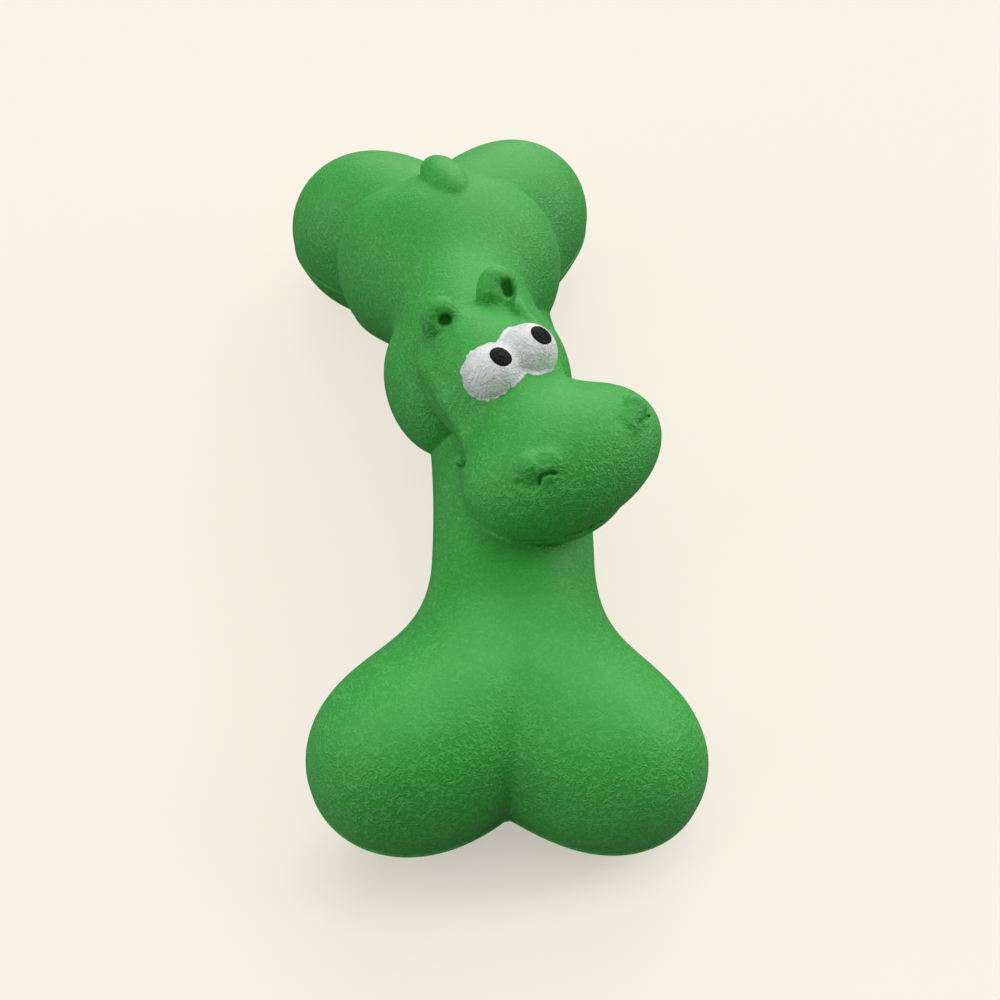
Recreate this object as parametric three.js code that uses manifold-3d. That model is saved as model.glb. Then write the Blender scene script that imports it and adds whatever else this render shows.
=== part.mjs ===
// A hollow rubber toy for a dog: a plump bone that carries a prone hippopotamus, with a squeaker in its back.
// It lies on its back: X is its width, +Y runs along the bone to the rump's end, +Z is the front that shows.
// Lengths are millimetres and angles are degrees. The fields work in the bone's own frame, whose middle
// plane is z = 0, and the finished group is moved so that its underside rests on z = 0.
import * as THREE from "three";
import { mergeVertices } from "three/addons/utils/BufferGeometryUtils.js";
import Module from "manifold-3d";

const wasm = await Module();
wasm.setup();

// Bone
const LOBE_REACH = 66.35; // each pair of lobes from the middle, along Y
const LOBE_SPREAD = 18.15; // each lobe's centre from the middle of its pair
const LOBE_HALF_DEPTH = 17.5;
const PAIR_SHIFT = 0.3; // the middle of each pair lies this far to +X
const NEAR_LOBE_HALF_WIDTH = 15.25;
const NEAR_LOBE_HALF_LENGTH = 14.35;
const NEAR_PAIR_TURN = -6.85;
const FAR_LOBE_HALF_WIDTH = 17.4;
const FAR_LOBE_HALF_LENGTH = 17.25;
const FAR_PAIR_TURN = 3.65;
const LOBE_CREASE = 4.2; // rounding of the crease between the two lobes of a pair
const SHAFT_RADIUS = 15.5;
const SHAFT_BOW = 9.6; // how far the shaft bends to +X
const SHAFT_SET = -1.7; // where the bent shaft's ends would lie along X
const SHAFT_LEAN = 0.8; // how much more the far half bends than the near half
const SHAFT_FILLET = 23.5; // blend of the shaft into the lobes
const REST_FLAT = 0.5; // depth of the flat that each lobe rests on
const shaftEndShare = 0.8; // of the reach, where the shaft's round end begins

// Mould seam, wall and clearances
const SEAM_HEIGHT = -2; // the front and back mouldings meet here
const WALL = 2.4;
const CLEARANCE = 0.3;
const OVERRUN = 4; // how far a cutting tool passes its work

// Hippopotamus body, placed by shares of the lobe spread, the lobe reach and the shaft radius
const rump = { halfWidth: 22.7, halfLength: 21, halfHeight: 20.8, atShares: [0.089, 0.609, 0.645] };
const leftThigh = { halfWidth: 11.6, halfLength: 13.8, halfHeight: 17.6, atShares: [-0.702, 0.667, 0.485] };
const rightThigh = { halfWidth: 9.9, halfLength: 12.6, halfHeight: 16.9, atShares: [0.655, 0.602, 0.436] };
const leftForeleg = { halfWidth: 10.4, halfLength: 15.2, halfHeight: 14, atShares: [-0.293, 0.146, 0.5], turn: 11 };
const rightForeleg = { halfWidth: 8.2, halfLength: 12.9, halfHeight: 14.2, atShares: [0.782, 0.168, 0.472], turn: 7 };
const trunk = {
  rearRadius: 14.5,
  frontRadius: 13,
  rearShares: [0, 0.573, 0.903],
  frontShares: [0.138, 0.151, 1.096],
};
const tail = { rootRadius: 3.4, tipRadius: 2.8, rootShares: [-0.128, 0.572, 0.798], tipShares: [0.022, 0.257, 0.932] };
const THIGH_BLEND = 4;
const TRUNK_BLEND = 5;
const FORELEG_BLEND = 2.5;
const UNDERSIDE_HEIGHT = -6; // the animal's underside, in the back moulding
const UNDERSIDE_ROUNDING = 4;

// Head, turned about Z, placed by shares as the body is; its own -Y points out of the muzzle
const HEAD_TURN = 28;
const headShares = [0.479, -0.152, 1];
const skull = { halfWidth: 11.6, halfLength: 16, halfHeight: 12.3, atShares: [-0.082, 0.597, 0.634] };
const bridge = { halfWidth: 9.9, halfLength: 14.9, halfHeight: 10.4, atShares: [-0.064, -0.8, -0.02] };
const muzzle = { halfWidth: 19.1, halfLength: 12.5, halfHeight: 11.8, atShares: [0.019, -1.449, 0.047], turn: -2.5 };
const jaw = { halfWidth: 16.2, halfLength: 15, halfHeight: 7.5, atShares: [-0.015, 0.308, -0.582] };
const BRIDGE_BLEND = 4;
const MUZZLE_BLEND = 5;

// Ears, eyes and nostrils, placed by shares of the skull's or the muzzle's half sizes
const ear = { halfWidth: 3.9, halfDepth: 3.2, halfHeight: 4.4, lean: -20 };
const earHollow = { halfWidth: 2.6, halfDepth: 2.8, halfHeight: 2.9, inEarShares: [0.05, -0.81, 0.5] };
const earPlaceShares = [
  [-0.35, 0.546, 0.788],
  [0.73, 0.565, 0.788],
];
const EYE_RADIUS = 5;
const EYE_COAT = 0.5; // thickness that the white coat is modelled with
const eyePlaceShares = [
  [-0.29, -0.385, 0.788],
  [0.384, -0.385, 0.788],
];
const PUPIL_RADIUS = 1.9;
const PUPIL_THICKNESS = 0.3;
const gazeShares = [
  [0.186, -0.278, 0.942],
  [0.364, -0.201, 0.909],
]; // direction of each pupil from its eye's centre, in the head's frame
const nostril = {
  radius: 2.1,
  innerShares: [0.419, -0.383, 0.653],
  outerShares: [0.571, -0.19, 0.737],
};
const nostrilHole = {
  radius: 1.4,
  mouthShares: [0.519, -0.624, 0.704],
  rootShares: [0.503, -0.367, 0.585],
};

// Squeaker, set in the middle of the shaft's underside
const SEAT_SINK = 3.3; // the flange's seat below the shaft's skin
const SEAT_TOP = -5.5;
const SEAT_WALL = 2.2;
const FLANGE_RADIUS = 8.2;
const FLANGE_THICKNESS = 1.5;
const BARREL_RADIUS = 5.7;
const BARREL_WALL = 1.2;
const BEAD_RADIUS = 6.7;
const BEAD_HEIGHT = 1;
const BARREL_PAST_BEAD = 1.5;
const VENT_RADIUS = 1.5;
const CHANNEL_WIDTH = 1.6;
const CHANNEL_DEPTH = 1.2;
const CHANNEL_END = 1.2; // wall left above the wind channel
const REED_WIDTH = 4;
const REED_LENGTH = 7.8;
const REED_THICKNESS = 0.25;
const WEDGE_HEIGHT = 3;

// Mesh steps
const BONE_STEP = 5;
const BODY_STEP = 4;
const HEAD_STEP = 3.2;
const CAVITY_STEP = 6;
const PINCH_FILL = 0.1; // depth given to a grid corner that is filled
const BALL_SEGMENTS = 16;
const BARREL_SEGMENTS = 32;

// Materials, with colours from the photograph
const RUBBER = { color: 0x4fab52, roughness: 0.55, metalness: 0 };
const WHITE_PAINT = { color: 0xdcdedd, roughness: 0.6, metalness: 0 };
const BLACK_PAINT = { color: 0x17171a, roughness: 0.45, metalness: 0 };
const NATURAL_PLASTIC = { color: 0xe9e4d6, roughness: 0.4, metalness: 0 };

const up = new THREE.Vector3(0, 0, 1);
const vector = (list) => new THREE.Vector3(...list);
const radians = THREE.MathUtils.degToRad;

// Fields: each is a function of a point that gives its distance to a surface, negative inside

const blendShare = 0.25; // how deep a smooth union reaches, as a share of its width

function blend(width, ...fields) {
  return (p) =>
    fields
      .map((field) => field(p))
      .reduce((a, b) => {
        const near = Math.max(width - Math.abs(a - b), 0) / width;
        return Math.min(a, b) - near * near * width * blendShare;
      });
}

// What two fields have in common, with a rounded edge
function trimmed(width, first, second) {
  const outside = blend(
    width,
    (p) => -first(p),
    (p) => -second(p),
  );
  return (p) => -outside(p);
}

function ellipsoid(centre, radii, turn = 0) {
  const q = new THREE.Vector3();
  return (p) => {
    q.copy(p).sub(centre).applyAxisAngle(up, -radians(turn)).divide(radii);
    const reach = q.length();
    const slope = q.divide(radii).length();
    return slope > 0 ? (reach * (reach - 1)) / slope : -Math.min(radii.x, radii.y, radii.z);
  };
}

function taper(start, end, startRadius, endRadius) {
  const line = new THREE.Line3(start, end);
  const foot = new THREE.Vector3();
  return (p) => {
    const share = line.closestPointToPointParameter(p, true);
    const radius = THREE.MathUtils.lerp(startRadius, endRadius, share);
    return line.at(share, foot).distanceTo(p) - radius;
  };
}

function placed(field, matrix) {
  const inverse = matrix.clone().invert();
  const q = new THREE.Vector3();
  return (p) => field(q.copy(p).applyMatrix4(inverse));
}

const halfSizes = (form) => new THREE.Vector3(form.halfWidth, form.halfLength, form.halfHeight);
const onBone = (shares) => vector(shares).multiply(new THREE.Vector3(LOBE_SPREAD, LOBE_REACH, SHAFT_RADIUS));
const mirrored = ([x, y, z], side) => [side * x, y, z];
const SIDES = [-1, 1];

// The place of the shaft's bent axis along X
function shaftAxis(y) {
  const along = THREE.MathUtils.clamp(y / LOBE_REACH, -1, 1);
  return SHAFT_SET + (SHAFT_BOW + SHAFT_LEAN * along) * (1 - along * along);
}

function shaftField(p) {
  const past = Math.max(Math.abs(p.y) - shaftEndShare * LOBE_REACH, 0);
  return Math.hypot(p.x - shaftAxis(p.y), past, p.z) - SHAFT_RADIUS;
}

function lobePair(y, halfWidth, halfLength, turn) {
  const radii = new THREE.Vector3(halfWidth, halfLength, LOBE_HALF_DEPTH);
  const lobes = SIDES.map((side) => {
    const centre = new THREE.Vector3(side * LOBE_SPREAD, 0, 0).applyAxisAngle(up, radians(turn));
    centre.x += PAIR_SHIFT;
    centre.y += y;
    return ellipsoid(centre, radii, turn);
  });
  return blend(LOBE_CREASE, ...lobes);
}

function boneField() {
  const near = lobePair(-LOBE_REACH, NEAR_LOBE_HALF_WIDTH, NEAR_LOBE_HALF_LENGTH, NEAR_PAIR_TURN);
  const far = lobePair(LOBE_REACH, FAR_LOBE_HALF_WIDTH, FAR_LOBE_HALF_LENGTH, FAR_PAIR_TURN);
  return blend(SHAFT_FILLET, shaftField, near, far);
}

function bodyField() {
  const thighs = [leftThigh, rightThigh].map((leg) => ellipsoid(onBone(leg.atShares), halfSizes(leg)));
  const haunches = blend(THIGH_BLEND, ellipsoid(onBone(rump.atShares), halfSizes(rump)), ...thighs);
  const back = taper(onBone(trunk.rearShares), onBone(trunk.frontShares), trunk.rearRadius, trunk.frontRadius);
  const forelegs = [leftForeleg, rightForeleg].map((leg) =>
    ellipsoid(onBone(leg.atShares), halfSizes(leg), leg.turn),
  );
  const animal = blend(FORELEG_BLEND, blend(TRUNK_BLEND, haunches, back), ...forelegs);
  return trimmed(UNDERSIDE_ROUNDING, animal, (p) => UNDERSIDE_HEIGHT - p.z);
}

// Places on the head, in its own frame
const onSkull = (shares) => vector(shares).multiply(halfSizes(skull)).add(skullCentre);
const onMuzzle = (shares) => vector(shares).multiply(halfSizes(muzzle)).add(muzzleCentre);
const skullCentre = vector(skull.atShares).multiply(halfSizes(skull));
const muzzleCentre = onSkull(muzzle.atShares);
const headMatrix = new THREE.Matrix4()
  .makeRotationZ(radians(HEAD_TURN))
  .setPosition(onBone(headShares));

function faceField() {
  const [skullForm, bridgeForm, muzzleForm] = [
    ellipsoid(skullCentre, halfSizes(skull)),
    ellipsoid(onSkull(bridge.atShares), halfSizes(bridge)),
    ellipsoid(muzzleCentre, halfSizes(muzzle), muzzle.turn),
  ];
  return placed(blend(MUZZLE_BLEND, blend(BRIDGE_BLEND, skullForm, bridgeForm), muzzleForm), headMatrix);
}

function jawField() {
  return placed(ellipsoid(onMuzzle(jaw.atShares), halfSizes(jaw)), headMatrix);
}

// Grid stops along the three axes of a box: even steps, no longer than the step asked for
function evenGrid(box, step) {
  return ["x", "y", "z"].map((axis) => {
    const count = Math.ceil((box.max[axis] - box.min[axis]) / step);
    return Array.from({ length: count + 1 }, (_, n) => THREE.MathUtils.lerp(box.min[axis], box.max[axis], n / count));
  });
}

// A closed surface of a field on a grid: one point in each cell that the surface crosses, drawn to the
// surface, and one pair of triangles across each grid edge that it crosses.
function surfaceOf(field, grid) {
  const counts = grid.map((stops) => stops.length);
  const strides = [1, counts[0], counts[0] * counts[1]];
  const total = counts[0] * counts[1] * counts[2];
  const indexOf = (at) => at[0] * strides[0] + at[1] * strides[1] + at[2] * strides[2];
  const pointAt = (at) => new THREE.Vector3(grid[0][at[0]], grid[1][at[1]], grid[2][at[2]]);
  const values = new Float32Array(total);
  const nodes = [];
  for (let k = 0; k < counts[2]; k++)
    for (let j = 0; j < counts[1]; j++) for (let i = 0; i < counts[0]; i++) nodes.push([i, j, k]);
  nodes.forEach((at) => {
    values[indexOf(at)] = field(pointAt(at));
  });
  closePinches(nodes, values, counts, strides);
  const cells = nodes.filter((at) => at.every((n, axis) => n < counts[axis] - 1));
  const points = [];
  const pointOfCell = new Int32Array(total).fill(-1);
  cells.forEach((at) => {
    const crossing = crossingOf(at, values, pointAt, indexOf);
    if (!crossing) return;
    const cell = new THREE.Box3(pointAt(at), pointAt(at.map((n) => n + 1)));
    pointOfCell[indexOf(at)] = points.length;
    points.push(drawnToSurface(field, crossing, cell));
  });
  const triangles = [];
  nodes.forEach((at) => {
    const here = indexOf(at);
    [0, 1, 2].forEach((axis) => {
      if (at[axis] >= counts[axis] - 1) return;
      const inside = values[here] < 0;
      if (inside === values[here + strides[axis]] < 0) return;
      const across = strides[(axis + 1) % 3];
      const over = strides[(axis + 2) % 3];
      const ring = [here, here - across, here - across - over, here - over].map((n) => pointOfCell[n]);
      const [a, b, c, d] = inside ? ring : ring.reverse();
      const shortFirst = points[a].distanceTo(points[c]) < points[b].distanceTo(points[d]);
      triangles.push(...(shortFirst ? [a, b, c, a, c, d] : [b, c, d, b, d, a]));
    });
  });
  return solidFrom(points.flatMap((p) => p.toArray()), triangles);
}

// Fills one corner of each grid face whose corners are inside and outside by turns, so that no two sheets
// of the surface share an edge
function closePinches(nodes, values, counts, strides) {
  let filled = 1;
  while (filled) {
    filled = 0;
    nodes.forEach((at) => {
      const here = at[0] * strides[0] + at[1] * strides[1] + at[2] * strides[2];
      [0, 1, 2].forEach((axis) => {
        const next = (axis + 1) % 3;
        if (at[axis] >= counts[axis] - 1 || at[next] >= counts[next] - 1) return;
        const side = here + strides[axis];
        const inside = [here, side, side + strides[next], here + strides[next]].map((n) => values[n] < 0);
        if (inside[0] === inside[1] || inside[0] !== inside[2] || inside[1] !== inside[3]) return;
        values[inside[0] ? side : here] = -PINCH_FILL;
        filled += 1;
      });
    });
  }
}

// The mean of the points where a field crosses the edges of one grid cell, or null
function crossingOf(at, values, pointAt, indexOf) {
  const sum = new THREE.Vector3();
  let count = 0;
  const corners = [];
  for (let n = 0; n < 8; n++) corners.push([at[0] + (n & 1), at[1] + ((n >> 1) & 1), at[2] + ((n >> 2) & 1)]);
  corners.forEach((corner, n) => {
    [1, 2, 4].forEach((bit) => {
      if (n & bit) return;
      const other = corners[n | bit];
      const a = values[indexOf(corner)];
      const b = values[indexOf(other)];
      if (a < 0 === b < 0) return;
      sum.add(pointAt(corner).lerp(pointAt(other), a / (a - b)));
      count += 1;
    });
  });
  return count ? sum.divideScalar(count) : null;
}

// A point moved along the field's slope to its surface, without reaching the walls of its cell
function drawnToSurface(field, point, cell) {
  const probe = cell.getSize(new THREE.Vector3()).length() * probeShare;
  cell.expandByScalar(-probe);
  for (let n = 0; n < 3; n++) {
    const slope = new THREE.Vector3(
      ...["x", "y", "z"].map((axis) => {
        const ahead = point.clone();
        const behind = point.clone();
        ahead[axis] += probe;
        behind[axis] -= probe;
        return (field(ahead) - field(behind)) / (2 * probe);
      }),
    );
    const move = field(point) / Math.max(slope.lengthSq(), flattestSlopeShare);
    point.addScaledVector(slope, -move);
    cell.clampPoint(point, point);
  }
  return point;
}

const probeShare = 0.01; // of a cell's diagonal
const flattestSlopeShare = 0.1;

// Solids

function solidFrom(positions, triangles) {
  return new wasm.Manifold(
    new wasm.Mesh({
      numProp: 3,
      vertProperties: new Float32Array(positions),
      triVerts: new Uint32Array(triangles),
    }),
  );
}

function solidOf(geometry) {
  geometry.deleteAttribute("normal");
  geometry.deleteAttribute("uv");
  const merged = mergeVertices(geometry);
  const triangles = [];
  for (let n = 0; n < merged.index.count; n += 3) {
    const [a, b, c] = [0, 1, 2].map((k) => merged.index.getX(n + k));
    if (a !== b && b !== c && c !== a) triangles.push(a, b, c);
  }
  return solidFrom(merged.attributes.position.array, triangles);
}

function geometryOf(solid) {
  const mesh = solid.getMesh();
  const geometry = new THREE.BufferGeometry();
  geometry.setAttribute("position", new THREE.BufferAttribute(new Float32Array(mesh.vertProperties), 3));
  geometry.setIndex(new THREE.BufferAttribute(new Uint32Array(mesh.triVerts), 1));
  geometry.computeVertexNormals();
  return geometry;
}

const joined = (first, ...rest) => rest.reduce((all, next) => all.add(next), first);
const ball = (radius) => new THREE.SphereGeometry(radius, BALL_SEGMENTS, BALL_SEGMENTS * ballRowShare);
const ballRowShare = 0.75;

function blockSolid(min, max) {
  const size = new THREE.Vector3().subVectors(max, min);
  const middle = new THREE.Vector3().addVectors(min, max).multiplyScalar(1 / 2);
  return solidOf(new THREE.BoxGeometry(size.x, size.y, size.z).translate(middle.x, middle.y, middle.z));
}

function drumSolid(radius, bottom, top) {
  const drum = new THREE.CylinderGeometry(radius, radius, top - bottom, BARREL_SEGMENTS);
  return solidOf(drum.rotateX(radians(90)).translate(0, 0, (top + bottom) / 2));
}

// A rod with round ends between two points
function rodSolid(start, end, radius) {
  const span = new THREE.Vector3().subVectors(end, start);
  const rod = new THREE.CapsuleGeometry(radius, span.length(), BALL_SEGMENTS / 4, BALL_SEGMENTS);
  const turn = new THREE.Quaternion().setFromUnitVectors(new THREE.Vector3(0, 1, 0), span.normalize());
  const middle = new THREE.Vector3().addVectors(start, end).multiplyScalar(1 / 2);
  return solidOf(rod.applyQuaternion(turn).translate(middle.x, middle.y, middle.z));
}

function moved(solid, matrix) {
  return solidOf(geometryOf(solid).applyMatrix4(matrix));
}

// The shells

const bone = boneField();
const body = bodyField();
const face = faceField();

function toyBox() {
  const width = LOBE_SPREAD + Math.max(NEAR_LOBE_HALF_WIDTH, FAR_LOBE_HALF_WIDTH) + OVERRUN;
  const length = LOBE_REACH + Math.max(NEAR_LOBE_HALF_LENGTH, FAR_LOBE_HALF_LENGTH) + 2 * OVERRUN;
  const top = SHAFT_RADIUS + skullCentre.z + skull.halfHeight + 2 * OVERRUN;
  return new THREE.Box3(
    new THREE.Vector3(-width, -length, -LOBE_HALF_DEPTH - OVERRUN),
    new THREE.Vector3(width, length, top),
  );
}

const box = toyBox();
const restHeight = -LOBE_HALF_DEPTH + REST_FLAT;
const boneForm = surfaceOf(bone, evenGrid(box, BONE_STEP));
const bodyForm = surfaceOf(body, evenGrid(box, BODY_STEP));
const faceForm = surfaceOf(face, evenGrid(box, HEAD_STEP));
const jawForm = surfaceOf(jawField(), evenGrid(box, HEAD_STEP));

function slab(bottom, top) {
  return blockSolid(
    new THREE.Vector3(box.min.x - OVERRUN, box.min.y - OVERRUN, bottom),
    new THREE.Vector3(box.max.x + OVERRUN, box.max.y + OVERRUN, top),
  );
}

// A hollow that follows both shells, one wall inside them
function cavitySolid() {
  const grid = evenGrid(box, CAVITY_STEP);
  return joined(...[bone, body, face].map((field) => surfaceOf((p) => field(p) + WALL, grid)));
}

// Small forms of the head, in its frame

function eyeBalls(radius) {
  return joined(
    ...eyePlaceShares.map((shares) => {
      const at = onSkull(shares);
      return solidOf(ball(radius).translate(at.x, at.y, at.z));
    }),
  );
}

function earSolid(shares) {
  const at = onSkull(shares);
  const outer = ball(1).scale(ear.halfWidth, ear.halfDepth, ear.halfHeight);
  const hollowAt = vector(earHollow.inEarShares).multiply(
    new THREE.Vector3(ear.halfWidth, ear.halfDepth, ear.halfHeight),
  );
  const inner = ball(1)
    .scale(earHollow.halfWidth, earHollow.halfDepth, earHollow.halfHeight)
    .translate(hollowAt.x, hollowAt.y, hollowAt.z);
  const cup = solidOf(outer).subtract(solidOf(inner));
  const lean = new THREE.Matrix4().makeRotationX(radians(ear.lean)).setPosition(at);
  return moved(cup, lean);
}

function nostrilRod(startShares, endShares, side, radius) {
  return rodSolid(onMuzzle(mirrored(startShares, side)), onMuzzle(mirrored(endShares, side)), radius);
}

function tailSolid() {
  const onRump = (shares) => vector(shares).multiply(halfSizes(rump)).add(onBone(rump.atShares));
  const root = onRump(tail.rootShares);
  const tip = onRump(tail.tipShares);
  const rear = rodSolid(root, root.clone().lerp(tip, 1 / 2), tail.rootRadius);
  return rear.add(rodSolid(root.clone().lerp(tip, 1 / 2), tip, tail.tipRadius));
}

function frontShell(cavity) {
  const headForms = joined(
    eyeBalls(EYE_RADIUS - EYE_COAT - CLEARANCE),
    ...earPlaceShares.map(earSolid),
    ...SIDES.map((side) => nostrilRod(nostril.innerShares, nostril.outerShares, side, nostril.radius)),
  );
  const holes = joined(
    ...SIDES.map((side) =>
      nostrilRod(nostrilHole.mouthShares, nostrilHole.rootShares, side, nostrilHole.radius),
    ),
  );
  return joined(boneForm, bodyForm, faceForm, jawForm)
    .add(moved(headForms, headMatrix))
    .add(tailSolid())
    .subtract(moved(holes, headMatrix))
    .intersect(slab(SEAM_HEIGHT + CLEARANCE / 2, box.max.z + OVERRUN))
    .subtract(cavity);
}

const seatHeight = -SHAFT_RADIUS + SEAT_SINK;
const boreRadius = BARREL_RADIUS + CLEARANCE;
const recessRadius = FLANGE_RADIUS + CLEARANCE;

// The squeaker stands on the shaft's axis, which the bow moves to the side
const squeakerMatrix = new THREE.Matrix4().makeTranslation(shaftAxis(0), 0, 0);

function backShell(cavity) {
  const seat = moved(drumSolid(recessRadius + SEAT_WALL, box.min.z, SEAT_TOP), squeakerMatrix);
  const recess = moved(drumSolid(recessRadius, box.min.z - OVERRUN, seatHeight), squeakerMatrix);
  const bore = moved(drumSolid(boreRadius, box.min.z - OVERRUN, SEAT_TOP + OVERRUN), squeakerMatrix);
  return boneForm
    .add(bodyForm)
    .intersect(slab(restHeight, SEAM_HEIGHT - CLEARANCE / 2))
    .subtract(cavity)
    .add(seat.intersect(boneForm))
    .subtract(recess)
    .subtract(bore);
}

// Painted eyes

function eyeWhite() {
  const coat = moved(eyeBalls(EYE_RADIUS).subtract(eyeBalls(EYE_RADIUS - EYE_COAT)), headMatrix);
  const grown = surfaceOf((p) => face(p) - CLEARANCE, evenGrid(box, HEAD_STEP));
  return coat.subtract(grown);
}

// A round cap of paint over one eye, thick enough to hold as a piece
function pupilGeometry() {
  const under = EYE_RADIUS + CLEARANCE;
  const over = under + PUPIL_THICKNESS;
  const spread = Math.asin(PUPIL_RADIUS / under);
  const arc = (radius, turn) => new THREE.Vector2(radius * Math.sin(turn), radius * Math.cos(turn));
  const shares = [0, 1 / 3, 2 / 3, 1];
  const inner = shares.map((share) => arc(under, share * spread));
  const outer = shares.map((share) => arc(over, (1 - share) * spread));
  return new THREE.LatheGeometry([...inner, ...outer], BALL_SEGMENTS);
}

function pupil(index) {
  const gaze = vector(gazeShares[index]).normalize();
  const turn = new THREE.Quaternion().setFromUnitVectors(new THREE.Vector3(0, 1, 0), gaze);
  const at = onSkull(eyePlaceShares[index]);
  const cap = pupilGeometry().applyQuaternion(turn).translate(at.x, at.y, at.z);
  return solidOf(cap.applyMatrix4(headMatrix));
}

// Squeaker: a flanged barrel that holds a half-round block, a thin reed over its channel and a wedge

const flangeTop = seatHeight - CLEARANCE;
const flangeBottom = flangeTop - FLANGE_THICKNESS;
const beadBottom = SEAT_TOP + CLEARANCE;
const beadTop = beadBottom + BEAD_HEIGHT;
const barrelTop = beadTop + BARREL_PAST_BEAD;
const barrelBore = BARREL_RADIUS - BARREL_WALL;
const coreRadius = barrelBore - CLEARANCE;
const coreBottom = flangeTop + CLEARANCE;
const wedgeTop = coreBottom + WEDGE_HEIGHT;
const reedFace = CLEARANCE;
const wedgeFace = reedFace + REED_THICKNESS + CLEARANCE;

function squeakerHousing() {
  const outline = [
    [VENT_RADIUS, flangeBottom],
    [FLANGE_RADIUS, flangeBottom],
    [FLANGE_RADIUS, flangeTop],
    [BARREL_RADIUS, flangeTop],
    [BARREL_RADIUS, beadBottom],
    [BEAD_RADIUS, beadBottom],
    [BARREL_RADIUS, beadTop],
    [BARREL_RADIUS, barrelTop],
    [barrelBore, barrelTop],
    [barrelBore, flangeTop],
    [VENT_RADIUS, flangeTop],
    [VENT_RADIUS, flangeBottom],
  ].map(([radius, height]) => new THREE.Vector2(radius, height));
  const lathe = new THREE.LatheGeometry(outline, BARREL_SEGMENTS);
  return solidOf(lathe.rotateX(radians(90)));
}

function reedBlock() {
  const reach = coreRadius + OVERRUN;
  const beyondFace = blockSolid(
    new THREE.Vector3(0, -reach, coreBottom - OVERRUN),
    new THREE.Vector3(reach, reach, barrelTop + OVERRUN),
  );
  const channel = blockSolid(
    new THREE.Vector3(-CHANNEL_DEPTH, -CHANNEL_WIDTH / 2, coreBottom - OVERRUN),
    new THREE.Vector3(OVERRUN, CHANNEL_WIDTH / 2, barrelTop - CHANNEL_END),
  );
  return drumSolid(coreRadius, coreBottom, barrelTop).subtract(beyondFace).subtract(channel);
}

function reedWedge() {
  const reach = coreRadius + OVERRUN;
  const beforeFace = blockSolid(
    new THREE.Vector3(-reach, -reach, coreBottom - OVERRUN),
    new THREE.Vector3(wedgeFace, reach, wedgeTop + OVERRUN),
  );
  return drumSolid(coreRadius, coreBottom, wedgeTop).subtract(beforeFace);
}

function reed() {
  const foot = coreBottom + CLEARANCE;
  return blockSolid(
    new THREE.Vector3(reedFace, -REED_WIDTH / 2, foot),
    new THREE.Vector3(reedFace + REED_THICKNESS, REED_WIDTH / 2, foot + REED_LENGTH),
  );
}

// The toy

function piece(name, solid, look) {
  const mesh = new THREE.Mesh(geometryOf(solid), new THREE.MeshStandardMaterial(look));
  mesh.name = name;
  return mesh;
}

function squeaker() {
  const group = new THREE.Group();
  group.add(piece("squeaker_housing", squeakerHousing(), NATURAL_PLASTIC));
  group.add(piece("squeaker_reed_block", reedBlock(), NATURAL_PLASTIC));
  group.add(piece("squeaker_reed_wedge", reedWedge(), NATURAL_PLASTIC));
  group.add(piece("squeaker_reed", reed(), NATURAL_PLASTIC));
  group.applyMatrix4(squeakerMatrix);
  return group;
}

function toy() {
  const cavity = cavitySolid();
  const group = new THREE.Group();
  group.add(piece("front_shell", frontShell(cavity), RUBBER));
  group.add(piece("back_shell", backShell(cavity), RUBBER));
  group.add(piece("eye_white", eyeWhite(), WHITE_PAINT));
  group.add(piece("pupil_left", pupil(0), BLACK_PAINT));
  group.add(piece("pupil_right", pupil(1), BLACK_PAINT));
  group.add(squeaker());
  const bounds = new THREE.Box3().setFromObject(group, true);
  const middle = bounds.getCenter(new THREE.Vector3());
  group.position.set(-middle.x, -middle.y, -bounds.min.z);
  return group;
}

export default toy();
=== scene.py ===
"""A moulded rubber toy for a dog: a big-nosed animal lying over a bone, in two halves, with a squeaker.

The toy lies on its back moulding, with +Z up out of its face and +Y towards the animal's rump. Its forms
are described in millimetres from the middle of the bone, and every mesh is drawn onto them.
"""
import logging
import math
from dataclasses import dataclass, field
from enum import Enum
from typing import Callable, Protocol

import bpy
import numpy as np
from mathutils import Matrix, Vector, noise


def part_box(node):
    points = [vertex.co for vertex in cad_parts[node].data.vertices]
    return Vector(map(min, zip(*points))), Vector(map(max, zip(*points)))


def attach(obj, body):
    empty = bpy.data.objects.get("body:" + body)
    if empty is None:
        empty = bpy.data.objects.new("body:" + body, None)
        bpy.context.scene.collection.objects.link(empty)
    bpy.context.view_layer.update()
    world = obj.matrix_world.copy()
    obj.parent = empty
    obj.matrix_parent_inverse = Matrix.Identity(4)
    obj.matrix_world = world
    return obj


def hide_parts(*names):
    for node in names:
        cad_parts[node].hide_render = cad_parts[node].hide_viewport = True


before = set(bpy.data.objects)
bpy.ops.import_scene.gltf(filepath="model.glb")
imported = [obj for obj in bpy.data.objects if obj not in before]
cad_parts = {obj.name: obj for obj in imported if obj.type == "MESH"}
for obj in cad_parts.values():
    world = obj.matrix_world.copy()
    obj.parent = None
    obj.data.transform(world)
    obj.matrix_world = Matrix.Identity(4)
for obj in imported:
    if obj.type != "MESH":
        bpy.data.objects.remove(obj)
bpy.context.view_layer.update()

Vec = tuple[float, float, float]
MM = 0.001
REST_HEIGHT = 17.0  # the middle of the bone above the surface that it lies on, in mm
SQUEAKER_X = 7.9  # the squeaker's axis from the middle of the bone, in mm
LOG = logging.getLogger("toy")


# Distances and blends

def joined(first: np.ndarray, second: np.ndarray, width: float) -> np.ndarray:
    """Joins two distance fields as wet clay joins.

    Args:
        first: distances to the first form.
        second: distances to the second form.
        width: how far off the corner the fillet starts.

    Returns:
        Distances to both forms with a fillet between them.
    """
    near = np.maximum(width - np.abs(first - second), 0.0) / width
    return np.minimum(first, second) - near * near * width / 4


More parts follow.
